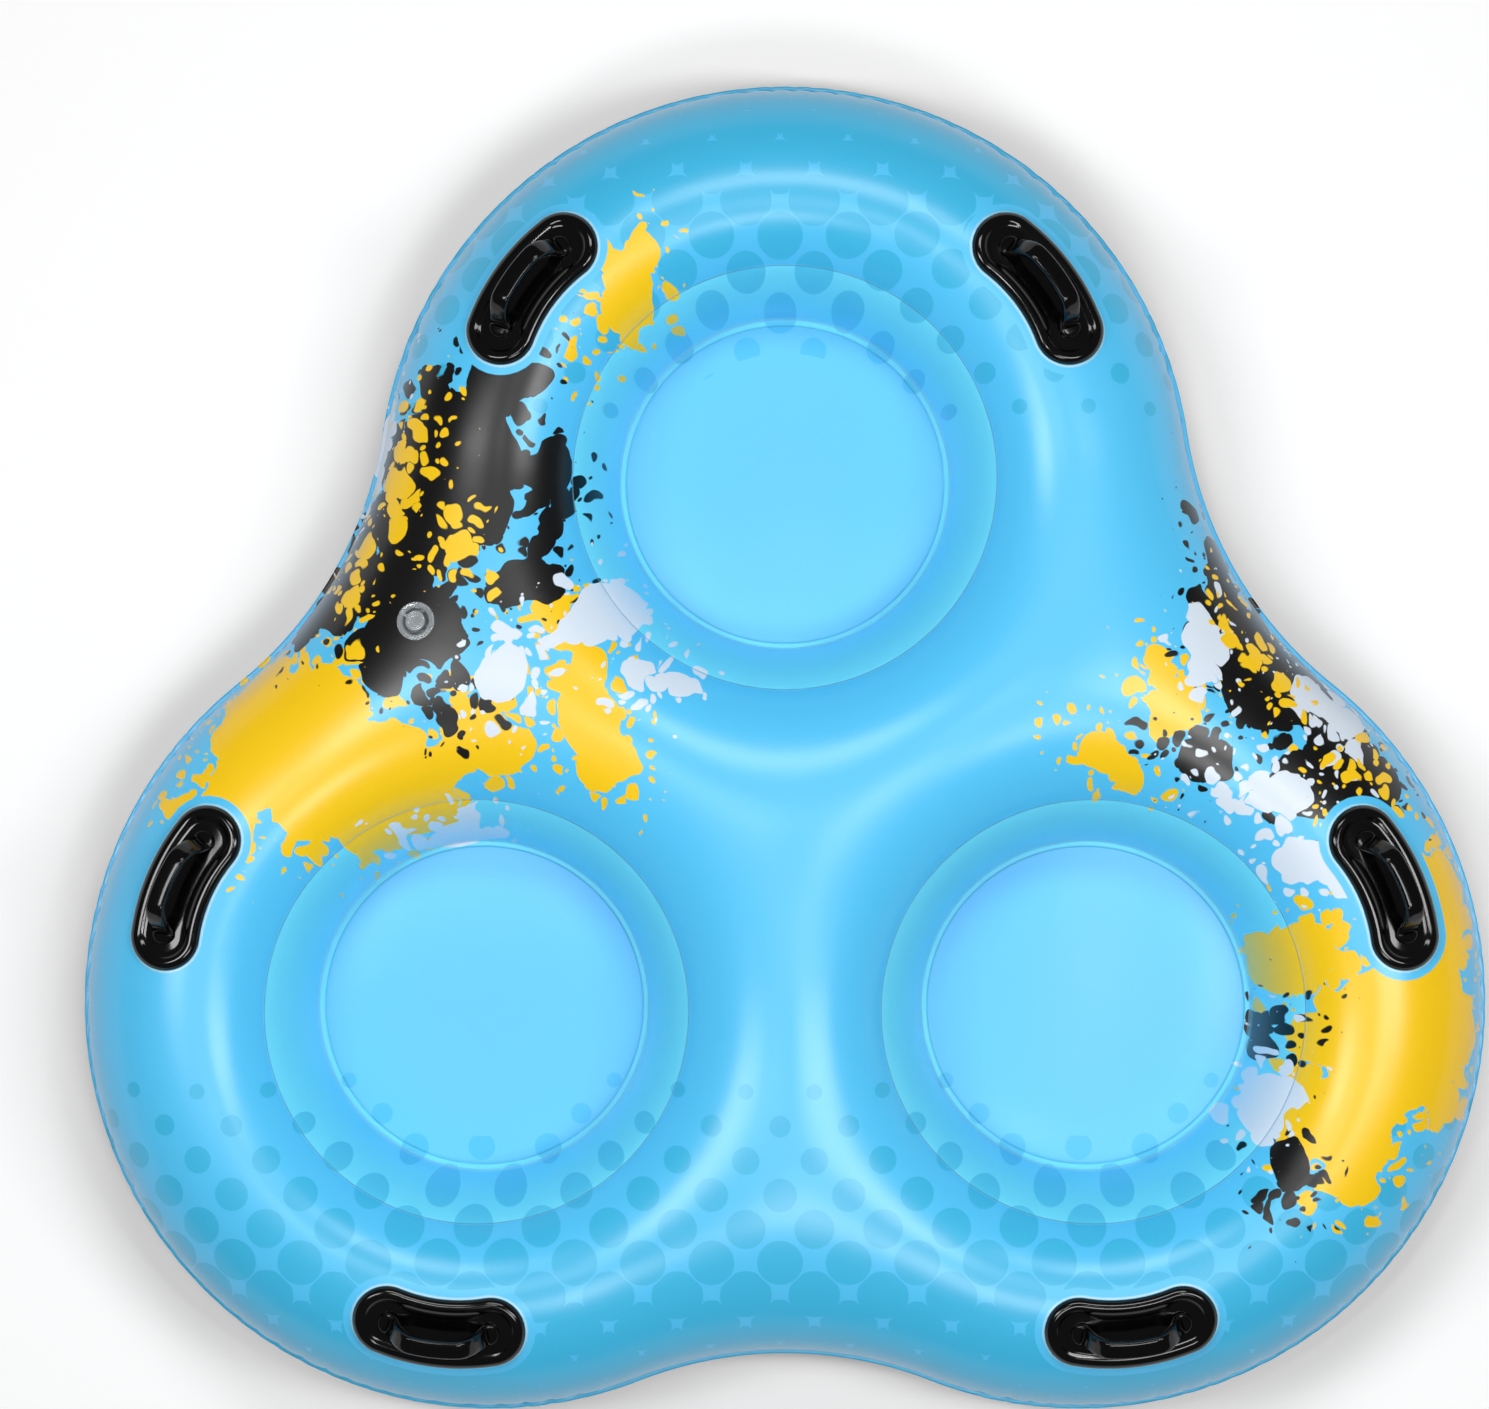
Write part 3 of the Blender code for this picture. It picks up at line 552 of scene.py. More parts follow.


# PVC film with a halftone and paint splashes printed on it, and painted highlights and painted shade along its
# edges and towards the rim
def printedVinyl(name, base, part):
    material, tree, shader = newMaterial(name, vinyl["roughness"], vinyl["ior"])
    shader.inputs["Specular IOR Level"].default_value = vinyl["specular"][part]
    place = add(tree, "Attribute", out="Vector", attribute_name="printPlace")
    padGap = add(tree, "Attribute", out="Fac", attribute_name="padGap")
    well = add(tree, "Attribute", out="Fac", attribute_name="wellReach")
    # Halftone on a square lattice turned by 45 degrees: each dot's size goes by its centre
    step, (phaseX, phaseY) = halftone["step"], halftone["phase"]
    moved = add(tree, "VectorMath", (place, (-phaseX, -phaseY, 0)), "ADD")
    turned = add(tree, "VectorRotate", {"Vector": moved, "Angle": -math.pi / 4}, rotation_type="Z_AXIS")
    cells = add(tree, "TexVoronoi", {"Vector": turned, "Scale": 1 / step, "Randomness": 0.0}, out=None,
                voronoi_dimensions="2D")
    centre = add(tree, "VectorRotate", {"Vector": cells.outputs["Position"], "Angle": math.pi / 4},
                 rotation_type="Z_AXIS")
    height = add(tree, "Math", (add(tree, "SeparateXYZ", [centre], out=1), phaseY), "ADD")
    height = add(tree, "Math", [height], "ABSOLUTE")
    beyond = add(tree, "Math", (height, halftone["start"]), "SUBTRACT")
    radius = add(tree, "Math", (beyond, halftone["growth"], halftone["first"]), "MULTIPLY_ADD")
    printed = add(tree, "Math", (beyond, 0.0), "GREATER_THAN")
    radius = add(tree, "Math", (radius, printed), "MULTIPLY")
    inDot = add(tree, "Math", (cells.outputs["Distance"], -step, radius), "MULTIPLY_ADD")
    strength = halftone["ink"][part]
    if part == "floor":
        outer = add(tree, "Math", (well, halftone["floorPrint"]), "GREATER_THAN")
        strength = add(tree, "Math", (outer, strength), "MULTIPLY")
    colour = inkOver(tree, linear(base), inDot, halftone["edge"], strength, vinyl["dots"])
    # Splashes: rounded lobes that run together inside a blot and come apart into drops around it
    swirl = add(tree, "TexNoise", {"Vector": place, "Scale": splash["swirl"], "Detail": 1.5}, out="Color",
                noise_dimensions="2D")
    swirl = add(tree, "VectorMath", (swirl, (0.5, 0.5, 0.5)), "SUBTRACT")
    sway = splash["swirlReach"]
    flow = add(tree, "VectorMath", {0: swirl, 1: (sway, sway, 0), 2: place}, "MULTIPLY_ADD")
    byDistance, byChance, byField, always = splash["dropShape"]
    fieldShare, lobeShare, lobeBase = splash["lobeShape"]
    for seed, (zone, ink) in enumerate(splash["layers"]):
        field = add(tree, "Attribute", out="Fac", attribute_name=zone)
        aside = (splash["seedStep"][0] * seed, splash["seedStep"][1] * seed, 0)
        seeded = add(tree, "VectorMath", (flow, aside), "ADD")
        level = add(tree, "Math", (field, splash["dropCrowd"]), "MINIMUM")
        level = add(tree, "Math", (level, byField, always), "MULTIPLY_ADD")
        blot = -1.0
        for cell in splash["drops"]:
            drops = add(tree, "TexVoronoi", {"Vector": seeded, "Scale": 1 / cell}, out=None,
                        voronoi_dimensions="2D")
            chance = add(tree, "SeparateColor", [drops.outputs["Color"]])
            near = add(tree, "Math", (chance, byChance, level), "MULTIPLY_ADD")
            drop = add(tree, "Math", (drops.outputs["Distance"], byDistance, near), "MULTIPLY_ADD")
            drop = add(tree, "Math", (drop, cell / splash["dropEdge"]), "MULTIPLY")
            blot = add(tree, "Math", (blot, drop), "MAXIMUM")
        if zone == ink:
            lobes = add(tree, "TexVoronoi",
                        {"Vector": seeded, "Scale": 1 / splash["lobe"], "Smoothness": splash["lobeBlend"]},
                        voronoi_dimensions="2D", feature="SMOOTH_F1")
            body = add(tree, "Math", (lobes, lobeShare, lobeBase), "MULTIPLY_ADD")
            body = add(tree, "Math", (field, fieldShare, body), "MULTIPLY_ADD")
            body = add(tree, "Math", (body, 1 / splash["lobeEdge"]), "MULTIPLY")
            blot = add(tree, "Math", (blot, body), "MAXIMUM")
        colour = inkOver(tree, colour, blot, 1, 1, vinyl[ink])
    laid = [(padGap, bands["margin"]), (padGap, bands["glue"])]
    if part == "top":
        seam = add(tree, "Attribute", out="Fac", attribute_name="seamReach")
        # the top film gets a painted highlight along its cut edge at the ring and painted shade towards the rim
        laid += [(well, bands["cutEdgeHighlight"]), (seam, bands["rim"])]
    if part == "wall":
        # on the wall: a painted highlight on the pressed bead and painted shade in the groove
        for title in ("bead", "groove"):
            away = add(tree, "Math", (well, bands[title + "Radius"]), "SUBTRACT")
            laid.append((add(tree, "Math", [away], "ABSOLUTE"), bands[title]))
    for field, (reach, softness, strength, ink) in laid:
        inside = add(tree, "Math", (reach, field), "SUBTRACT")
        colour = inkOver(tree, colour, inside, softness, strength, vinyl[ink])
    tree.links.new(colour, shader.inputs["Base Color"])
    # Relief of the film, and a gloss that strays a little
    coords = add(tree, "TexCoord", out="Object")
    relief = 0.0
    for beats, rise in (vinyl["grain"], vinyl["unevenness"]):
        noise = add(tree, "TexNoise", {"Vector": coords, "Scale": beats, "Detail": 2.0})
        relief = add(tree, "Math", (noise, rise, relief), "MULTIPLY_ADD")
    tree.links.new(add(tree, "Bump", {"Height": relief, "Distance": 1.0}), shader.inputs["Normal"])
    beats, stray = vinyl["wear"]
    worn = add(tree, "TexNoise", {"Vector": coords, "Scale": beats, "Detail": 3.0})
    gloss = add(tree, "Math", (worn, stray, vinyl["roughness"] - stray / 2), "MULTIPLY_ADD")
    tree.links.new(gloss, shader.inputs["Roughness"])
    return material


# Unprinted PVC: its tone and its gloss drift a little from place to place
plainFinish = {
    "cloud": 14.0,  # beats in a metre, so about 70 mm apart
    "grain": 500.0,  # the mould's grain, drawn 2 mm wide, coarser than life, so that it shows
    "stray": 0.08,  # of the roughness
    # two shades, roughness, and rise of the grain in metres
    "bottom": (("#141416", "#1F1F22"), 0.42, 0.00004),
    "pad": (("#020203", "#060607"), 0.10, 0.00001),
    "grip": (("#030304", "#070708"), 0.12, 0.00001),
}


def plainVinyl(name, part):
    shades, roughness, grainRise = plainFinish[part]
    material, tree, shader = newMaterial(name, roughness, vinyl["ior"])
    shader.inputs["Specular IOR Level"].default_value = vinyl["specular"][part]
    coords = add(tree, "TexCoord", out="Object")
    cloud = add(tree, "TexNoise", {"Vector": coords, "Scale": plainFinish["cloud"], "Detail": 3.0})
    tone = add(tree, "Mix", {0: cloud, 6: linear(shades[0]), 7: linear(shades[1])}, out=2, data_type="RGBA")
    tree.links.new(tone, shader.inputs["Base Color"])
    grain = add(tree, "TexNoise", {"Vector": coords, "Scale": plainFinish["grain"], "Detail": 2.0})
    rise = add(tree, "Math", (grain, grainRise), "MULTIPLY")
    tree.links.new(add(tree, "Bump", {"Height": rise, "Distance": 1.0}), shader.inputs["Normal"])
    stray = plainFinish["stray"]
    worn = add(tree, "Math", (cloud, stray, roughness - stray / 2), "MULTIPLY_ADD")
    tree.links.new(worn, shader.inputs["Roughness"])
    return material


# Clear PVC of the valve: lets light through and keeps a faint cool tint
clearFinish = {
    "tint": "#D8E6EE",
    "roughness": 0.12,
    "cloud": 160.0,  # beats in a metre, so faint ripples about 6 mm apart
    "rise": 0.0002,
    "clearness": 0.75,  # share of the light that passes through
}


def clearVinyl(name):
    material, tree, shader = newMaterial(name, clearFinish["roughness"], vinyl["ior"])
    coords = add(tree, "TexCoord", out="Object")
    cloud = add(tree, "TexNoise", {"Vector": coords, "Scale": clearFinish["cloud"], "Detail": 2.0})
    tone = add(tree, "Mix", {0: cloud, 6: linear(clearFinish["tint"]), 7: linear("#FFFFFF")}, out=2,
               data_type="RGBA")
    tree.links.new(tone, shader.inputs["Base Color"])
    shader.inputs["Transmission Weight"].default_value = clearFinish["clearness"]
    rise = add(tree, "Math", (cloud, clearFinish["rise"]), "MULTIPLY")
    tree.links.new(add(tree, "Bump", {"Height": rise, "Distance": 1.0}), shader.inputs["Normal"])
    return material


topMaterial = printedVinyl("calenderedVinylPrinted", vinyl["sky"], "top")  # sky blue, satin, splashed
wallMaterial = printedVinyl("calenderedVinylWall", vinyl["skyWallLightened"], "wall")  # the same film, painted a shade lighter to offset the shade on the steep walls
floorMaterial = printedVinyl("calenderedVinylFloor", vinyl["skyFloorLightened"], "floor")  # flat and calm, painted a little paler to offset the bluer bounce light in the wells
bottomMaterial = plainVinyl("calenderedVinylBlack", "bottom")  # dull and tough
padMaterial = plainVinyl("mouldedVinylGloss", "pad")  # deep gloss
gripMaterial = plainVinyl("mouldedVinylGrip", "grip")  # gloss with a handled look
clearMaterial = clearVinyl("turnedVinylClear")  # glassy, so the cup under it shows
print("materials done")

# Top sheet
topCut = {
    "seatOffsets": (0, 0.0012, 0.003, 0.006, 0.010, 0.016, 0.024, 0.034, 0.046),
    "valveInset": 0.1338,
    "holeRadii": (0.0205, 0.023, 0.027, 0.034),
    "holeSides": 40,
}
valveReach = waistReach - weldWaist - topCut["valveInset"]
valvePlan = np.array(polar(valveReach, tube["firstAxis"] + seatStep / 2))


def makeTopSheet():
    sheet = Sheet()
    rows = sheet.band(rimLoop(inset) for inset in rimRows)
    seatRadii = [tube["ringRadius"] + offset for offset in topCut["seatOffsets"]]
    edges = [sheet.band(ring(centre, radius) for radius in seatRadii)[-1] for centre in seatCentres]
    holeRings = sheet.band(ring(valvePlan, radius, topCut["holeSides"]) for radius in topCut["holeRadii"])
    holeEdge = topCut["holeRadii"][-1]
    loose = sheet.add(fillLattice(rimRows[-1], seatRadii[-1], (valvePlan, holeEdge)))
    plan = sheet.places()
    holes = [(centre, seatRadii[-1]) for centre in seatCentres] + [(tuple(valvePlan), holeEdge)]
    sheet.faces += fillFaces(plan, [rows[-1]] + edges + [holeRings[-1]], loose, holes)
    points = skinPoints(plan[:, 0], plan[:, 1], topHeight, 1)
    points[:, 2] -= creaseAt(plan)
    return plan, points, sheet.faces


# Bands between rings run outward and those at the rim run inward, so every face is turned the same way here
def upright(points, faces, upward=True):
    turned = []
    for face in faces:
        a, b, c = (points[i] for i in face[:3])
        cross = (b[0] - a[0]) * (c[1] - a[1]) - (b[1] - a[1]) * (c[0] - a[0])
        turned.append(face if (cross > 0) == upward else tuple(reversed(face)))
    return turned


plan, points, faces = makeTopSheet()
topSheet = newObject("printedTopSheet", inWorld(points), upright(plan, faces), topMaterial, printFields(plan))
thicken(topSheet, tube["film"])
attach(topSheet, "tube")
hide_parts("top_sheet")
print("top sheet", len(points))

# Bottom sheet
bottomCut = {
    "seatOffsets": (0, 0.0004, 0.0016, 0.004, 0.008, 0.014, 0.022, 0.033, 0.047, 0.064, 0.084),
    "innerRadii": (0.19, 0.15, 0.11, 0.07, 0.03),
}


def makeBottomSheet():
    sheet = Sheet()
    rows = sheet.band(rimLoop(inset) for inset in rimRows)
    floor, offsets = tube["floorRadius"], bottomCut["seatOffsets"]
    edges, plateau = [], []
    for centre in seatCentres:
        rings = sheet.band(ring(centre, floor + offset) for offset in offsets)
        inner = [rings[0]] + [sheet.add(ring(centre, radius)) for radius in bottomCut["innerRadii"]]
        middle = sheet.add(np.array([centre]))
        sheet.faces += bandFaces(inner) + fanFaces(inner[-1], middle[0])
        edges.append(rings[-1])
        plateau += [i for loop in inner for i in loop] + middle
    loose = sheet.add(fillLattice(rimRows[-1], floor + offsets[-1], None))
    plan = sheet.places()
    holes = [(centre, floor + offsets[-1]) for centre in seatCentres]
    sheet.faces += fillFaces(plan, [rows[-1]] + edges, loose, holes)
    points = skinPoints(plan[:, 0], plan[:, 1], bellyHeight, -1)
    points[plateau, 2] = tube["floorHeight"]
    return plan, points, sheet.faces


plan, points, faces = makeBottomSheet()
bottomSheet = newObject("blackBottomSheet", inWorld(points), upright(plan, faces, False), bottomMaterial)
thicken(bottomSheet, tube["bottomFilm"])
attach(bottomSheet, "tube")
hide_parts("bottom_sheet")
print("bottom sheet", len(points))

# Seat wells
seat = {
    "flangeInsets": (0.008, 0.006, 0.004, 0.002, 0),
    "flangeBeads": (0.0, 0.0006, 0.0002, 0.0006, 0.0),  # the pressed double bead, row by row
    "wallOffsets": (
        0.0003, 0.0010, 0.0022, 0.004, 0.0065, 0.010, 0.0145, 0.020, 0.026, 0.032, 0.038, 0.044, 0.049, 0.053,
        0.056, 0.0575, 0.060, 0.063, 0.066),
    "lapDip": 0.004,  # the lap goes a little deeper over this width, so that the creased films don't touch
    "floorRadii": (0.222, 0.214, 0.206, 0.195, 0.18, 0.16, 0.135, 0.105, 0.07, 0.035),
    "slack": 0.0016,
    "slackEdge": 0.214,
    "slackFade": 0.06,
    "slackWaves": ((11, 7, 1), (-13, 9, 2)),  # beats across and along, and how the floor's number shifts them
    "swell": 0.0010,
}
floorTop = tube["floorHeight"] + tube["bottomFilm"] + tube["gap"] + tube["film"]
flangeTop = floorTop + tube["gap"] + tube["film"]


def makeWall(centre):
    sheet = Sheet()
    floor = tube["floorRadius"]
    radii = [floor - inset for inset in seat["flangeInsets"]]
    radii += [floor + offset for offset in seat["wallOffsets"]]
    rings = sheet.band(ring(centre, radius) for radius in radii)
    plan = sheet.places()
    x, y = plan[:, 0], plan[:, 1]
    lapped = smooth((np.hypot(*(plan - centre).T) - tube["ringRadius"]) / seat["lapDip"] + 1)
    deep = tube["film"] + tube["gap"] * (1 + lapped)
    points = np.stack([x, y, topHeight(x, y)], axis=-1) - normalOf(topHeight, x, y) * deep[:, None]
    points[:, 2] -= creaseAt(plan)
    for row, bead in zip(rings, seat["flangeBeads"]):
        points[row] = np.stack([x[row], y[row], np.full(len(row), flangeTop + bead)], axis=-1)
    return plan, points, sheet.faces


def makeFloor(centre, number):
    sheet = Sheet()
    rings = sheet.band(ring(centre, radius) for radius in seat["floorRadii"])
    middle = sheet.add(np.array([centre]))
    sheet.faces += fanFaces(rings[-1], middle[0])
    plan = sheet.places()
    dx, dy = plan[:, 0] - centre[0], plan[:, 1] - centre[1]
    free = smooth((seat["slackEdge"] - np.hypot(dx, dy)) / seat["slackFade"])
    first, second = (a * dx + b * dy + c * number for a, b, c in seat["slackWaves"])
    z = floorTop + free * (seat["slack"] * np.sin(first) * np.cos(second) + seat["swell"])
    return plan, np.stack([plan[:, 0], plan[:, 1], z], axis=-1), sheet.faces


for number, centre in enumerate(seatCentres, 1):
    for kind, made, material, slotName, under in (
            ("floor", makeFloor(centre, number), floorMaterial, "floor_vinyl", "blackBottomSheet"),
            ("wall", makeWall(centre), wallMaterial, "well_vinyl", f"seatFloor{number}")):
        plan, points, faces = made
        faces = upright(plan, faces)
        piece = newObject(f"seat{kind.title()}{number}", inWorld(points), faces, material, printFields(plan))
        thicken(piece, tube["film"])
        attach(piece, "tube")
        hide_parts(f"seat_{kind}_{number}")
print("seat wells done")

# Handles
pad = {
    # how far in from the edge and how high above the skin: along the side, over the lip, into the trough
    "section": [
        (0.0, 0.0), (0.0000, 0.0010), (0.0003, 0.0026), (0.0012, 0.0048), (0.0028, 0.0070), (0.0050, 0.0088),
        (0.0078, 0.0098), (0.0108, 0.0100), (0.0136, 0.0093), (0.0158, 0.0080), (0.0176, 0.0064),
        (0.0196, 0.0050), (0.0222, 0.0042), (0.0260, 0.0040), (0.0320, 0.0040), (0.0390, 0.0040)],
    "baseInsets": (0.008, 0.016, 0.024, 0.032, 0.039),  # rows of the underside, which follows the skin
    "sideSteps": 40,
    "endSteps": 28,
}


def handlePlan(side, along, across, axis):
    middle, facing = handleFrame(side, axis)
    return arc(middle, handle["bendRadius"] + across, facing + along)


def padLoop(side, inset, axis):
    halfWidth = handle["width"] / 2 - inset
    sweep = np.linspace(-handleEndTurn, handleEndTurn, pad["sideSteps"] + 1)
    roundEnd = math.pi * np.arange(1, pad["endSteps"]) / pad["endSteps"]
    parts = []
    for outward, along, around in ((1, sweep, 0), (-1, sweep[::-1], math.pi)):
        parts.append(handlePlan(side, along, halfWidth * outward, axis))
        middle = handlePlan(side, along[-1:], 0, axis)[0]
        facing = handleFrame(side, axis)[1] + along[-1]
        parts.append(arc(middle, halfWidth, facing + around + roundEnd))
    return np.concatenate(parts)


def onSkin(plan, lift):
    x, y = plan[:, 0], plan[:, 1]
    lift = np.broadcast_to(lift, x.shape)
    return np.stack([x, y, topHeight(x, y)], axis=-1) + normalOf(topHeight, x, y) * lift[:, None]


def makePad(side, axis):
    sheet = Sheet()
    section = pad["section"] + [(inset, 0.0) for inset in pad["baseInsets"]]
    loops = [sheet.add(padLoop(side, inset, axis)) for inset, _ in section]
    lifts = [lift for loop, (_, lift) in zip(loops, section) for _ in loop]
    plan = sheet.places()
    upper, under = loops[:len(pad["section"])], [loops[0]] + loops[len(pad["section"]):]
    base = bandFaces(under) + fillFaces(plan, [under[-1]], [], [])
    faces = bandFaces(upper) + fillFaces(plan, [upper[-1]], [], []) + [tuple(reversed(face)) for face in base]
    return onSkin(plan, handle["seatGap"] + np.array(lifts)), faces


grip = {
    "length": 0.158,
    "width": 0.024,
    "thickness": 0.012,
    "rise": 0.0404,  # of the arch over its feet
    "foot": 0.016,
    "climb": 0.032,  # length over which each side of the arch goes up
    "lift": 0.0043,  # of the feet over the pad's base, 0.3 mm clear of the trough's floor
    "tab": 0.006,  # over this length the foot is a full tab, which then narrows to the strap
    "tabFade": 0.022,
    "tabFlare": 0.22,
    "tabThin": 0.35,
    "tipRound": 0.013,
    "tipWidth": 0.02,  # shares of width and thickness left at the very tips
    "tipThickness": 0.04,
    "corner": 0.5,  # squarish section with well rounded corners
    "stations": 64,
    "sides": 24,
}


def makeGrip(side, axis):
    half = grip["length"] / 2
    runs = half * np.sin(np.linspace(-math.pi / 2, math.pi / 2, grip["stations"] + 1))
    fromEnd = half - np.abs(runs)
    climb = np.clip((fromEnd - grip["foot"]) / grip["climb"], 0, 1)
    rise = grip["rise"] * np.sin(climb * math.pi / 2)
    plan = handlePlan(side, runs / handle["bendRadius"], 0, axis)
    foot = 1 - smooth((fromEnd - grip["tab"]) / grip["tabFade"])
    tip = np.sqrt(np.clip(1 - np.clip(1 - fromEnd / grip["tipRound"], 0, 1) ** 2, 0, 1))
    width = grip["width"] * (1 + grip["tabFlare"] * foot) * np.maximum(tip, grip["tipWidth"])
    thick = grip["thickness"] * (1 - grip["tabThin"] * foot) * np.maximum(tip ** 0.5, grip["tipThickness"])
    place = onSkin(plan, handle["seatGap"] + grip["lift"] + thick / 2 + rise)
    up = normalOf(topHeight, plan[:, 0], plan[:, 1])
    ahead = np.gradient(place, axis=0)
    sideways = np.cross(ahead, up)
    sideways /= np.linalg.norm(sideways, axis=1)[:, None]
    square = np.cross(sideways, ahead)
    square /= np.linalg.norm(square, axis=1)[:, None]
    points = []
    sides, corner = grip["sides"], grip["corner"]
    for i in range(len(runs)):
        for j in range(sides):
            c, s = polar(1, 2 * math.pi * (j + 0.5) / sides)
            c, s = math.copysign(abs(c) ** corner, c), math.copysign(abs(s) ** corner, s)
            points.append(place[i] + sideways[i] * width[i] / 2 * c + square[i] * thick[i] / 2 * s)
    loops = [list(range(i, i + sides)) for i in range(0, len(points), sides)]
    return np.array(points), rodFaces(loops[::-1])


for number, axis in enumerate(lobeAxes, 1):
    for sideName, side in handleSides:
        points, faces = makePad(side, axis)
        piece = newObject(f"handlePad{number}{sideName}", inWorld(points), faces, padMaterial)
        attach(piece, "tube")
        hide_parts(f"handle_pad_{number}_{sideName}")
        points, faces = makeGrip(side, axis)
        piece = newObject(f"handleGrip{number}{sideName}", inWorld(points), faces, gripMaterial)
        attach(piece, "tube")
        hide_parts(f"handle_grip_{number}_{sideName}")
print("handles done")

# Valve, in its own frame: +X away from the hub, +Z out of the skin
valve = {
    "steps": 64,
    # radius, height and whether the height is taken from the skin
    "body": [
        (0.0236, 0.0018, True), (0.0248, 0.0018, True), (0.0254, 0.0014, True), (0.0255, 0.0009, True),
        (0.0255, 0.0003, True), (0.0195, 0.0003, True), (0.0195, -0.0169, False), (0.0189, -0.0175, False),
        (0.0063, -0.0175, False), (0.0063, 0.0005, False), (0.0068, 0.0010, False), (0.0090, 0.0010, False),
        (0.0095, 0.0005, False), (0.0095, -0.0153, False), (0.0102, -0.0160, False), (0.0173, -0.0160, False),
        (0.0180, -0.0153, False), (0.0180, 0.0009, True), (0.0185, 0.0014, True), (0.0226, 0.0014, True)],
    "cap": [
        (0.0038, 0.0036), (0.0042, 0.0040), (0.0050, 0.0040), (0.0054, 0.0036), (0.0084, 0.0036),
        (0.0089, 0.0040), (0.0122, 0.0040), (0.0128, 0.0037), (0.0130, 0.0031), (0.0130, 0.0016),
        (0.0127, 0.0013), (0.0060, 0.0013), (0.0060, -0.0010), (0.0057, -0.0016), (0.0047, -0.0067)],
    "strapWidth": 0.006,
    "strapBase": 0.0016,
    "strapThickness": 0.0014,
    "strapEdge": (0.85, 0.7),  # shares of half its width and of its thickness where the edges are broken
    # place along the strap, share of its width and share of its thickness
    "strapRuns": [(0.0100, 1, 1), (0.0140, 0.8, 1), (0.0195, 0.8, 1), (0.0207, 0.95, 0.55), (0.0219, 1, 1),
                  (0.0225, 0.9, 0.8)],
    "flapRadius": 0.008,
    "flapTop": -0.0178,
    "flapThickness": 0.0006,
    "flapEdge": 0.0002,
    "sharpAngle": math.radians(40),
}
valveUp = normalOf(topHeight, *valvePlan.reshape(2, 1))[0]
valveOut = np.array([*valvePlan, 0]) - valveUp * (valvePlan @ valveUp[:2])
valveOut /= np.linalg.norm(valveOut)
valveAxes = np.array([valveOut, np.cross(valveUp, valveOut), valveUp])
valveSpot = np.array([*valvePlan, topHeight(*valvePlan.reshape(2, 1))[0]])


# Turns a profile round the valve's axis
def lathe(profile, closed):
    steps, count, points = valve["steps"], len(profile), []
    for i in range(steps):
        c, s = polar(1, 2 * math.pi * i / steps)
        for radius, height, *lies in profile:
            spot = valveSpot + np.array([radius * c, radius * s, 0 if any(lies) else height]) @ valveAxes
            points.append(onSkin(spot[None, :2], height)[0] if any(lies) else spot)
    loops = [list(range(j, steps * count, count)) for j in reversed(range(count))]
    return points, bandFaces(loops + loops[:1]) if closed else rodFaces(loops)


def makeStrap(start):
    low, points = valve["strapBase"], []
    flatShare, sideShare = valve["strapEdge"]
    for x, wide, thick in valve["strapRuns"]:
        y, z = valve["strapWidth"] / 2 * wide, valve["strapThickness"] * thick
        top, side = y * flatShare, z * sideShare
        for across, height in ((-y, 0), (y, 0), (y, side), (top, z), (-top, z), (-y, side)):
            points.append(valveSpot + np.array([x, across, low + height]) @ valveAxes)
    loops = [list(range(start + i, start + i + 6)) for i in range(0, len(points), 6)]
    return points, rodFaces(loops)


bodyPoints, bodyFaces = lathe(valve["body"], True)
capPoints, capFaces = lathe(valve["cap"], False)
strapPoints, strapFaces = makeStrap(len(capPoints))
flapTop, flapRadius, edge = valve["flapTop"], valve["flapRadius"], valve["flapEdge"]
flapLow = flapTop - valve["flapThickness"]
flapPoints, flapFaces = lathe(
    [(flapRadius - edge, flapTop), (flapRadius, flapTop - edge), (flapRadius, flapLow + edge),
     (flapRadius - edge, flapLow)], False)
for name, node, body, points, faces in (
        ("valveBody", "valve_body", "tube", bodyPoints, bodyFaces),
        ("valveCap", "valve_cap", "cap", capPoints + strapPoints, capFaces + strapFaces),
        ("valveFlap", "valve_flap", "flap", flapPoints, flapFaces)):
    piece = newObject(name, inWorld(np.array(points)), faces, clearMaterial)
    piece.data.set_sharp_from_angle(angle=valve["sharpAngle"])
    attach(piece, body)
    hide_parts(node)
print("valve done")

# Floor, light and camera
stageSet = {
    "colour": "#FFFFFF",
    "roughness": 0.9,
    "ior": 1.4,
    "reach": 30,
    "drop": 0.0005,  # below the tube's lowest point
    "lift": 0.05,  # evens the paper's white out where the lamps leave it a shade grey
    "litWithin": (1.6, 4.0),  # metres from the middle over which the lamps' pool of light ends
    "worldLevel": 0.12,
    "backdropTop": 0.12,  # how high the pale backdrop stands above the horizon
    "aim": (0, 0, 0.2),
}
lamps = {
    # place, size, turn about the lamp's own line of sight in degrees, power in watts;
    # the softboxes give the even light, the strips the narrow highlights on the crests
    "softboxLeft": ((-2.5, 0.2, 5.0), (1.0, 2.0), 0, 78),
    "softboxRight": ((2.4, -0.2, 5.0), (0.9, 2.0), 0, 71),
    "softboxBack": ((0.2, 2.5, 5.0), (2.4, 1.0), 0, 70),
    "softboxFront": ((0.3, -1.9, 5.0), (1.6, 0.8), 0, 46),
    "stripLeft": ((-0.43, 0.02, 5.0), (0.12, 0.85), 45, 13),
    "stripRight": ((1.15, -0.30, 5.0), (0.16, 0.80), -30, 13),
}


# What the camera, mirrors and glass see as background: 1 for those rays, 0 for the rays that light things
def seenRays(tree):
    rays = add(tree, "LightPath", out=None)
    mirrored = add(tree, "Math", (rays.outputs["Is Glossy Ray"], rays.outputs["Is Transmission Ray"]), "MAXIMUM")
    return rays.outputs["Is Camera Ray"], mirrored


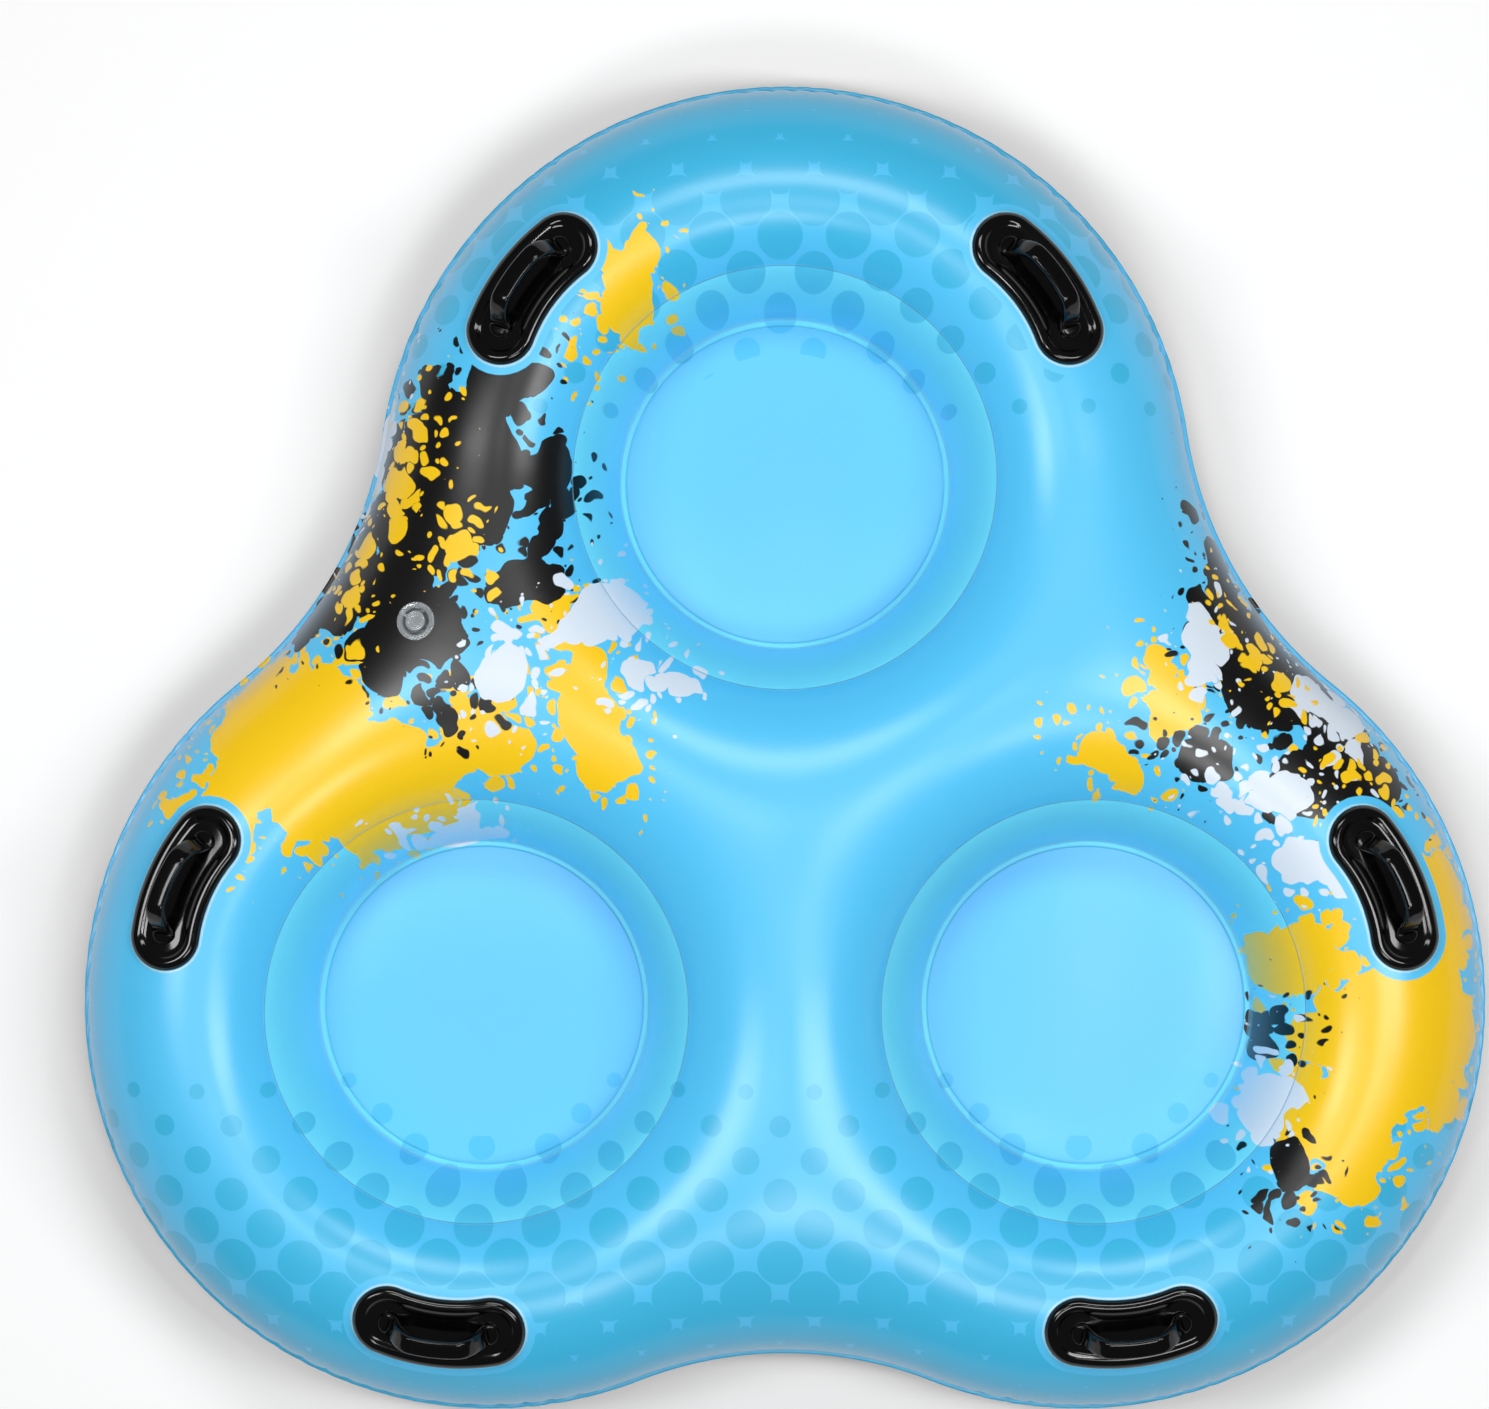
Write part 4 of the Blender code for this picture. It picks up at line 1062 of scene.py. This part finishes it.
# Seamless matt paper: plain white, with a soft shadow under the tube
stageMaterial, stageTree, stageShader = newMaterial("paperMatt", stageSet["roughness"], stageSet["ior"])
stageShader.inputs["Emission Color"].default_value = (1, 1, 1, 1)
seen = add(stageTree, "Math", seenRays(stageTree), "MAXIMUM")
away = add(stageTree, "VectorMath", [add(stageTree, "TexCoord", out="Object")], "LENGTH", out=1)
near, far = stageSet["litWithin"]
away = add(stageTree, "MapRange", {"Value": away, "From Min": near, "From Max": far})
paper = add(stageTree, "Mix", {0: away, 6: linear(stageSet["colour"]), 7: (0, 0, 0, 1)}, out=2,
            data_type="RGBA")
stageTree.links.new(paper, stageShader.inputs["Base Color"])
glow = add(stageTree, "Math", (away, 1 - stageSet["lift"], stageSet["lift"]), "MULTIPLY_ADD")
stageTree.links.new(add(stageTree, "Math", (seen, glow), "MULTIPLY"),
                    stageShader.inputs["Emission Strength"])
reach, drop = stageSet["reach"], -stageSet["drop"]
corners = [(-reach, -reach, drop), (reach, -reach, drop), (reach, reach, drop), (-reach, reach, drop)]
backdrop = newObject("paperFloor", corners, [(0, 1, 2, 3)], stageMaterial, flat=True)

for name, (place, size, turn, power) in lamps.items():
    light = bpy.data.lights.new(name, "AREA")
    light.shape = "RECTANGLE"
    light.size, light.size_y = size
    light.energy = power
    lamp = bpy.data.objects.new(name, light)
    scene.collection.objects.link(lamp)
    lamp.location = place
    aim = (Vector(stageSet["aim"]) - Vector(place)).to_track_quat("-Z", "Y")
    lamp.rotation_euler = (aim @ Quaternion((0, 0, 1), math.radians(turn))).to_euler()

world = bpy.data.worlds.new("studio")
scene.world = world
world.use_nodes = True
worldTree = world.node_tree
cameraRays, mirrored = seenRays(worldTree)
height = add(worldTree, "SeparateXYZ", [add(worldTree, "TexCoord", out="Generated")], out=2)
low = add(worldTree, "Math", (height, stageSet["backdropTop"]), "LESS_THAN")
mirrored = add(worldTree, "Math", (mirrored, low), "MULTIPLY")
pale = add(worldTree, "Math", (cameraRays, mirrored), "MAXIMUM")
dim = stageSet["worldLevel"]
level = add(worldTree, "Math", (pale, 1 - dim, dim), "MULTIPLY_ADD")
sky = worldTree.nodes["Background"]
sky.inputs[0].default_value = (1, 1, 1, 1)
worldTree.links.new(level, sky.inputs[1])

cameraSet = {
    "height": 7.0,  # it looks straight down
    "frameWidth": 2.000,  # what the frame takes in at the height of the rim weld
    "sensor": 36,
    "shiftX": -0.0272,
    "shiftY": 0.0289,
}
cameraData = bpy.data.cameras.new("photoCamera")
cameraData.sensor_width = cameraSet["sensor"]
cameraData.lens = cameraSet["sensor"] * (cameraSet["height"] - tube["seamHeight"]) / cameraSet["frameWidth"]
cameraData.shift_x, cameraData.shift_y = cameraSet["shiftX"], cameraSet["shiftY"]
camera = bpy.data.objects.new("photoCamera", cameraData)
scene.collection.objects.link(camera)
camera.location = (0, 0, cameraSet["height"])
scene.camera = camera
scene.view_settings.view_transform = "Standard"
print("stage done")
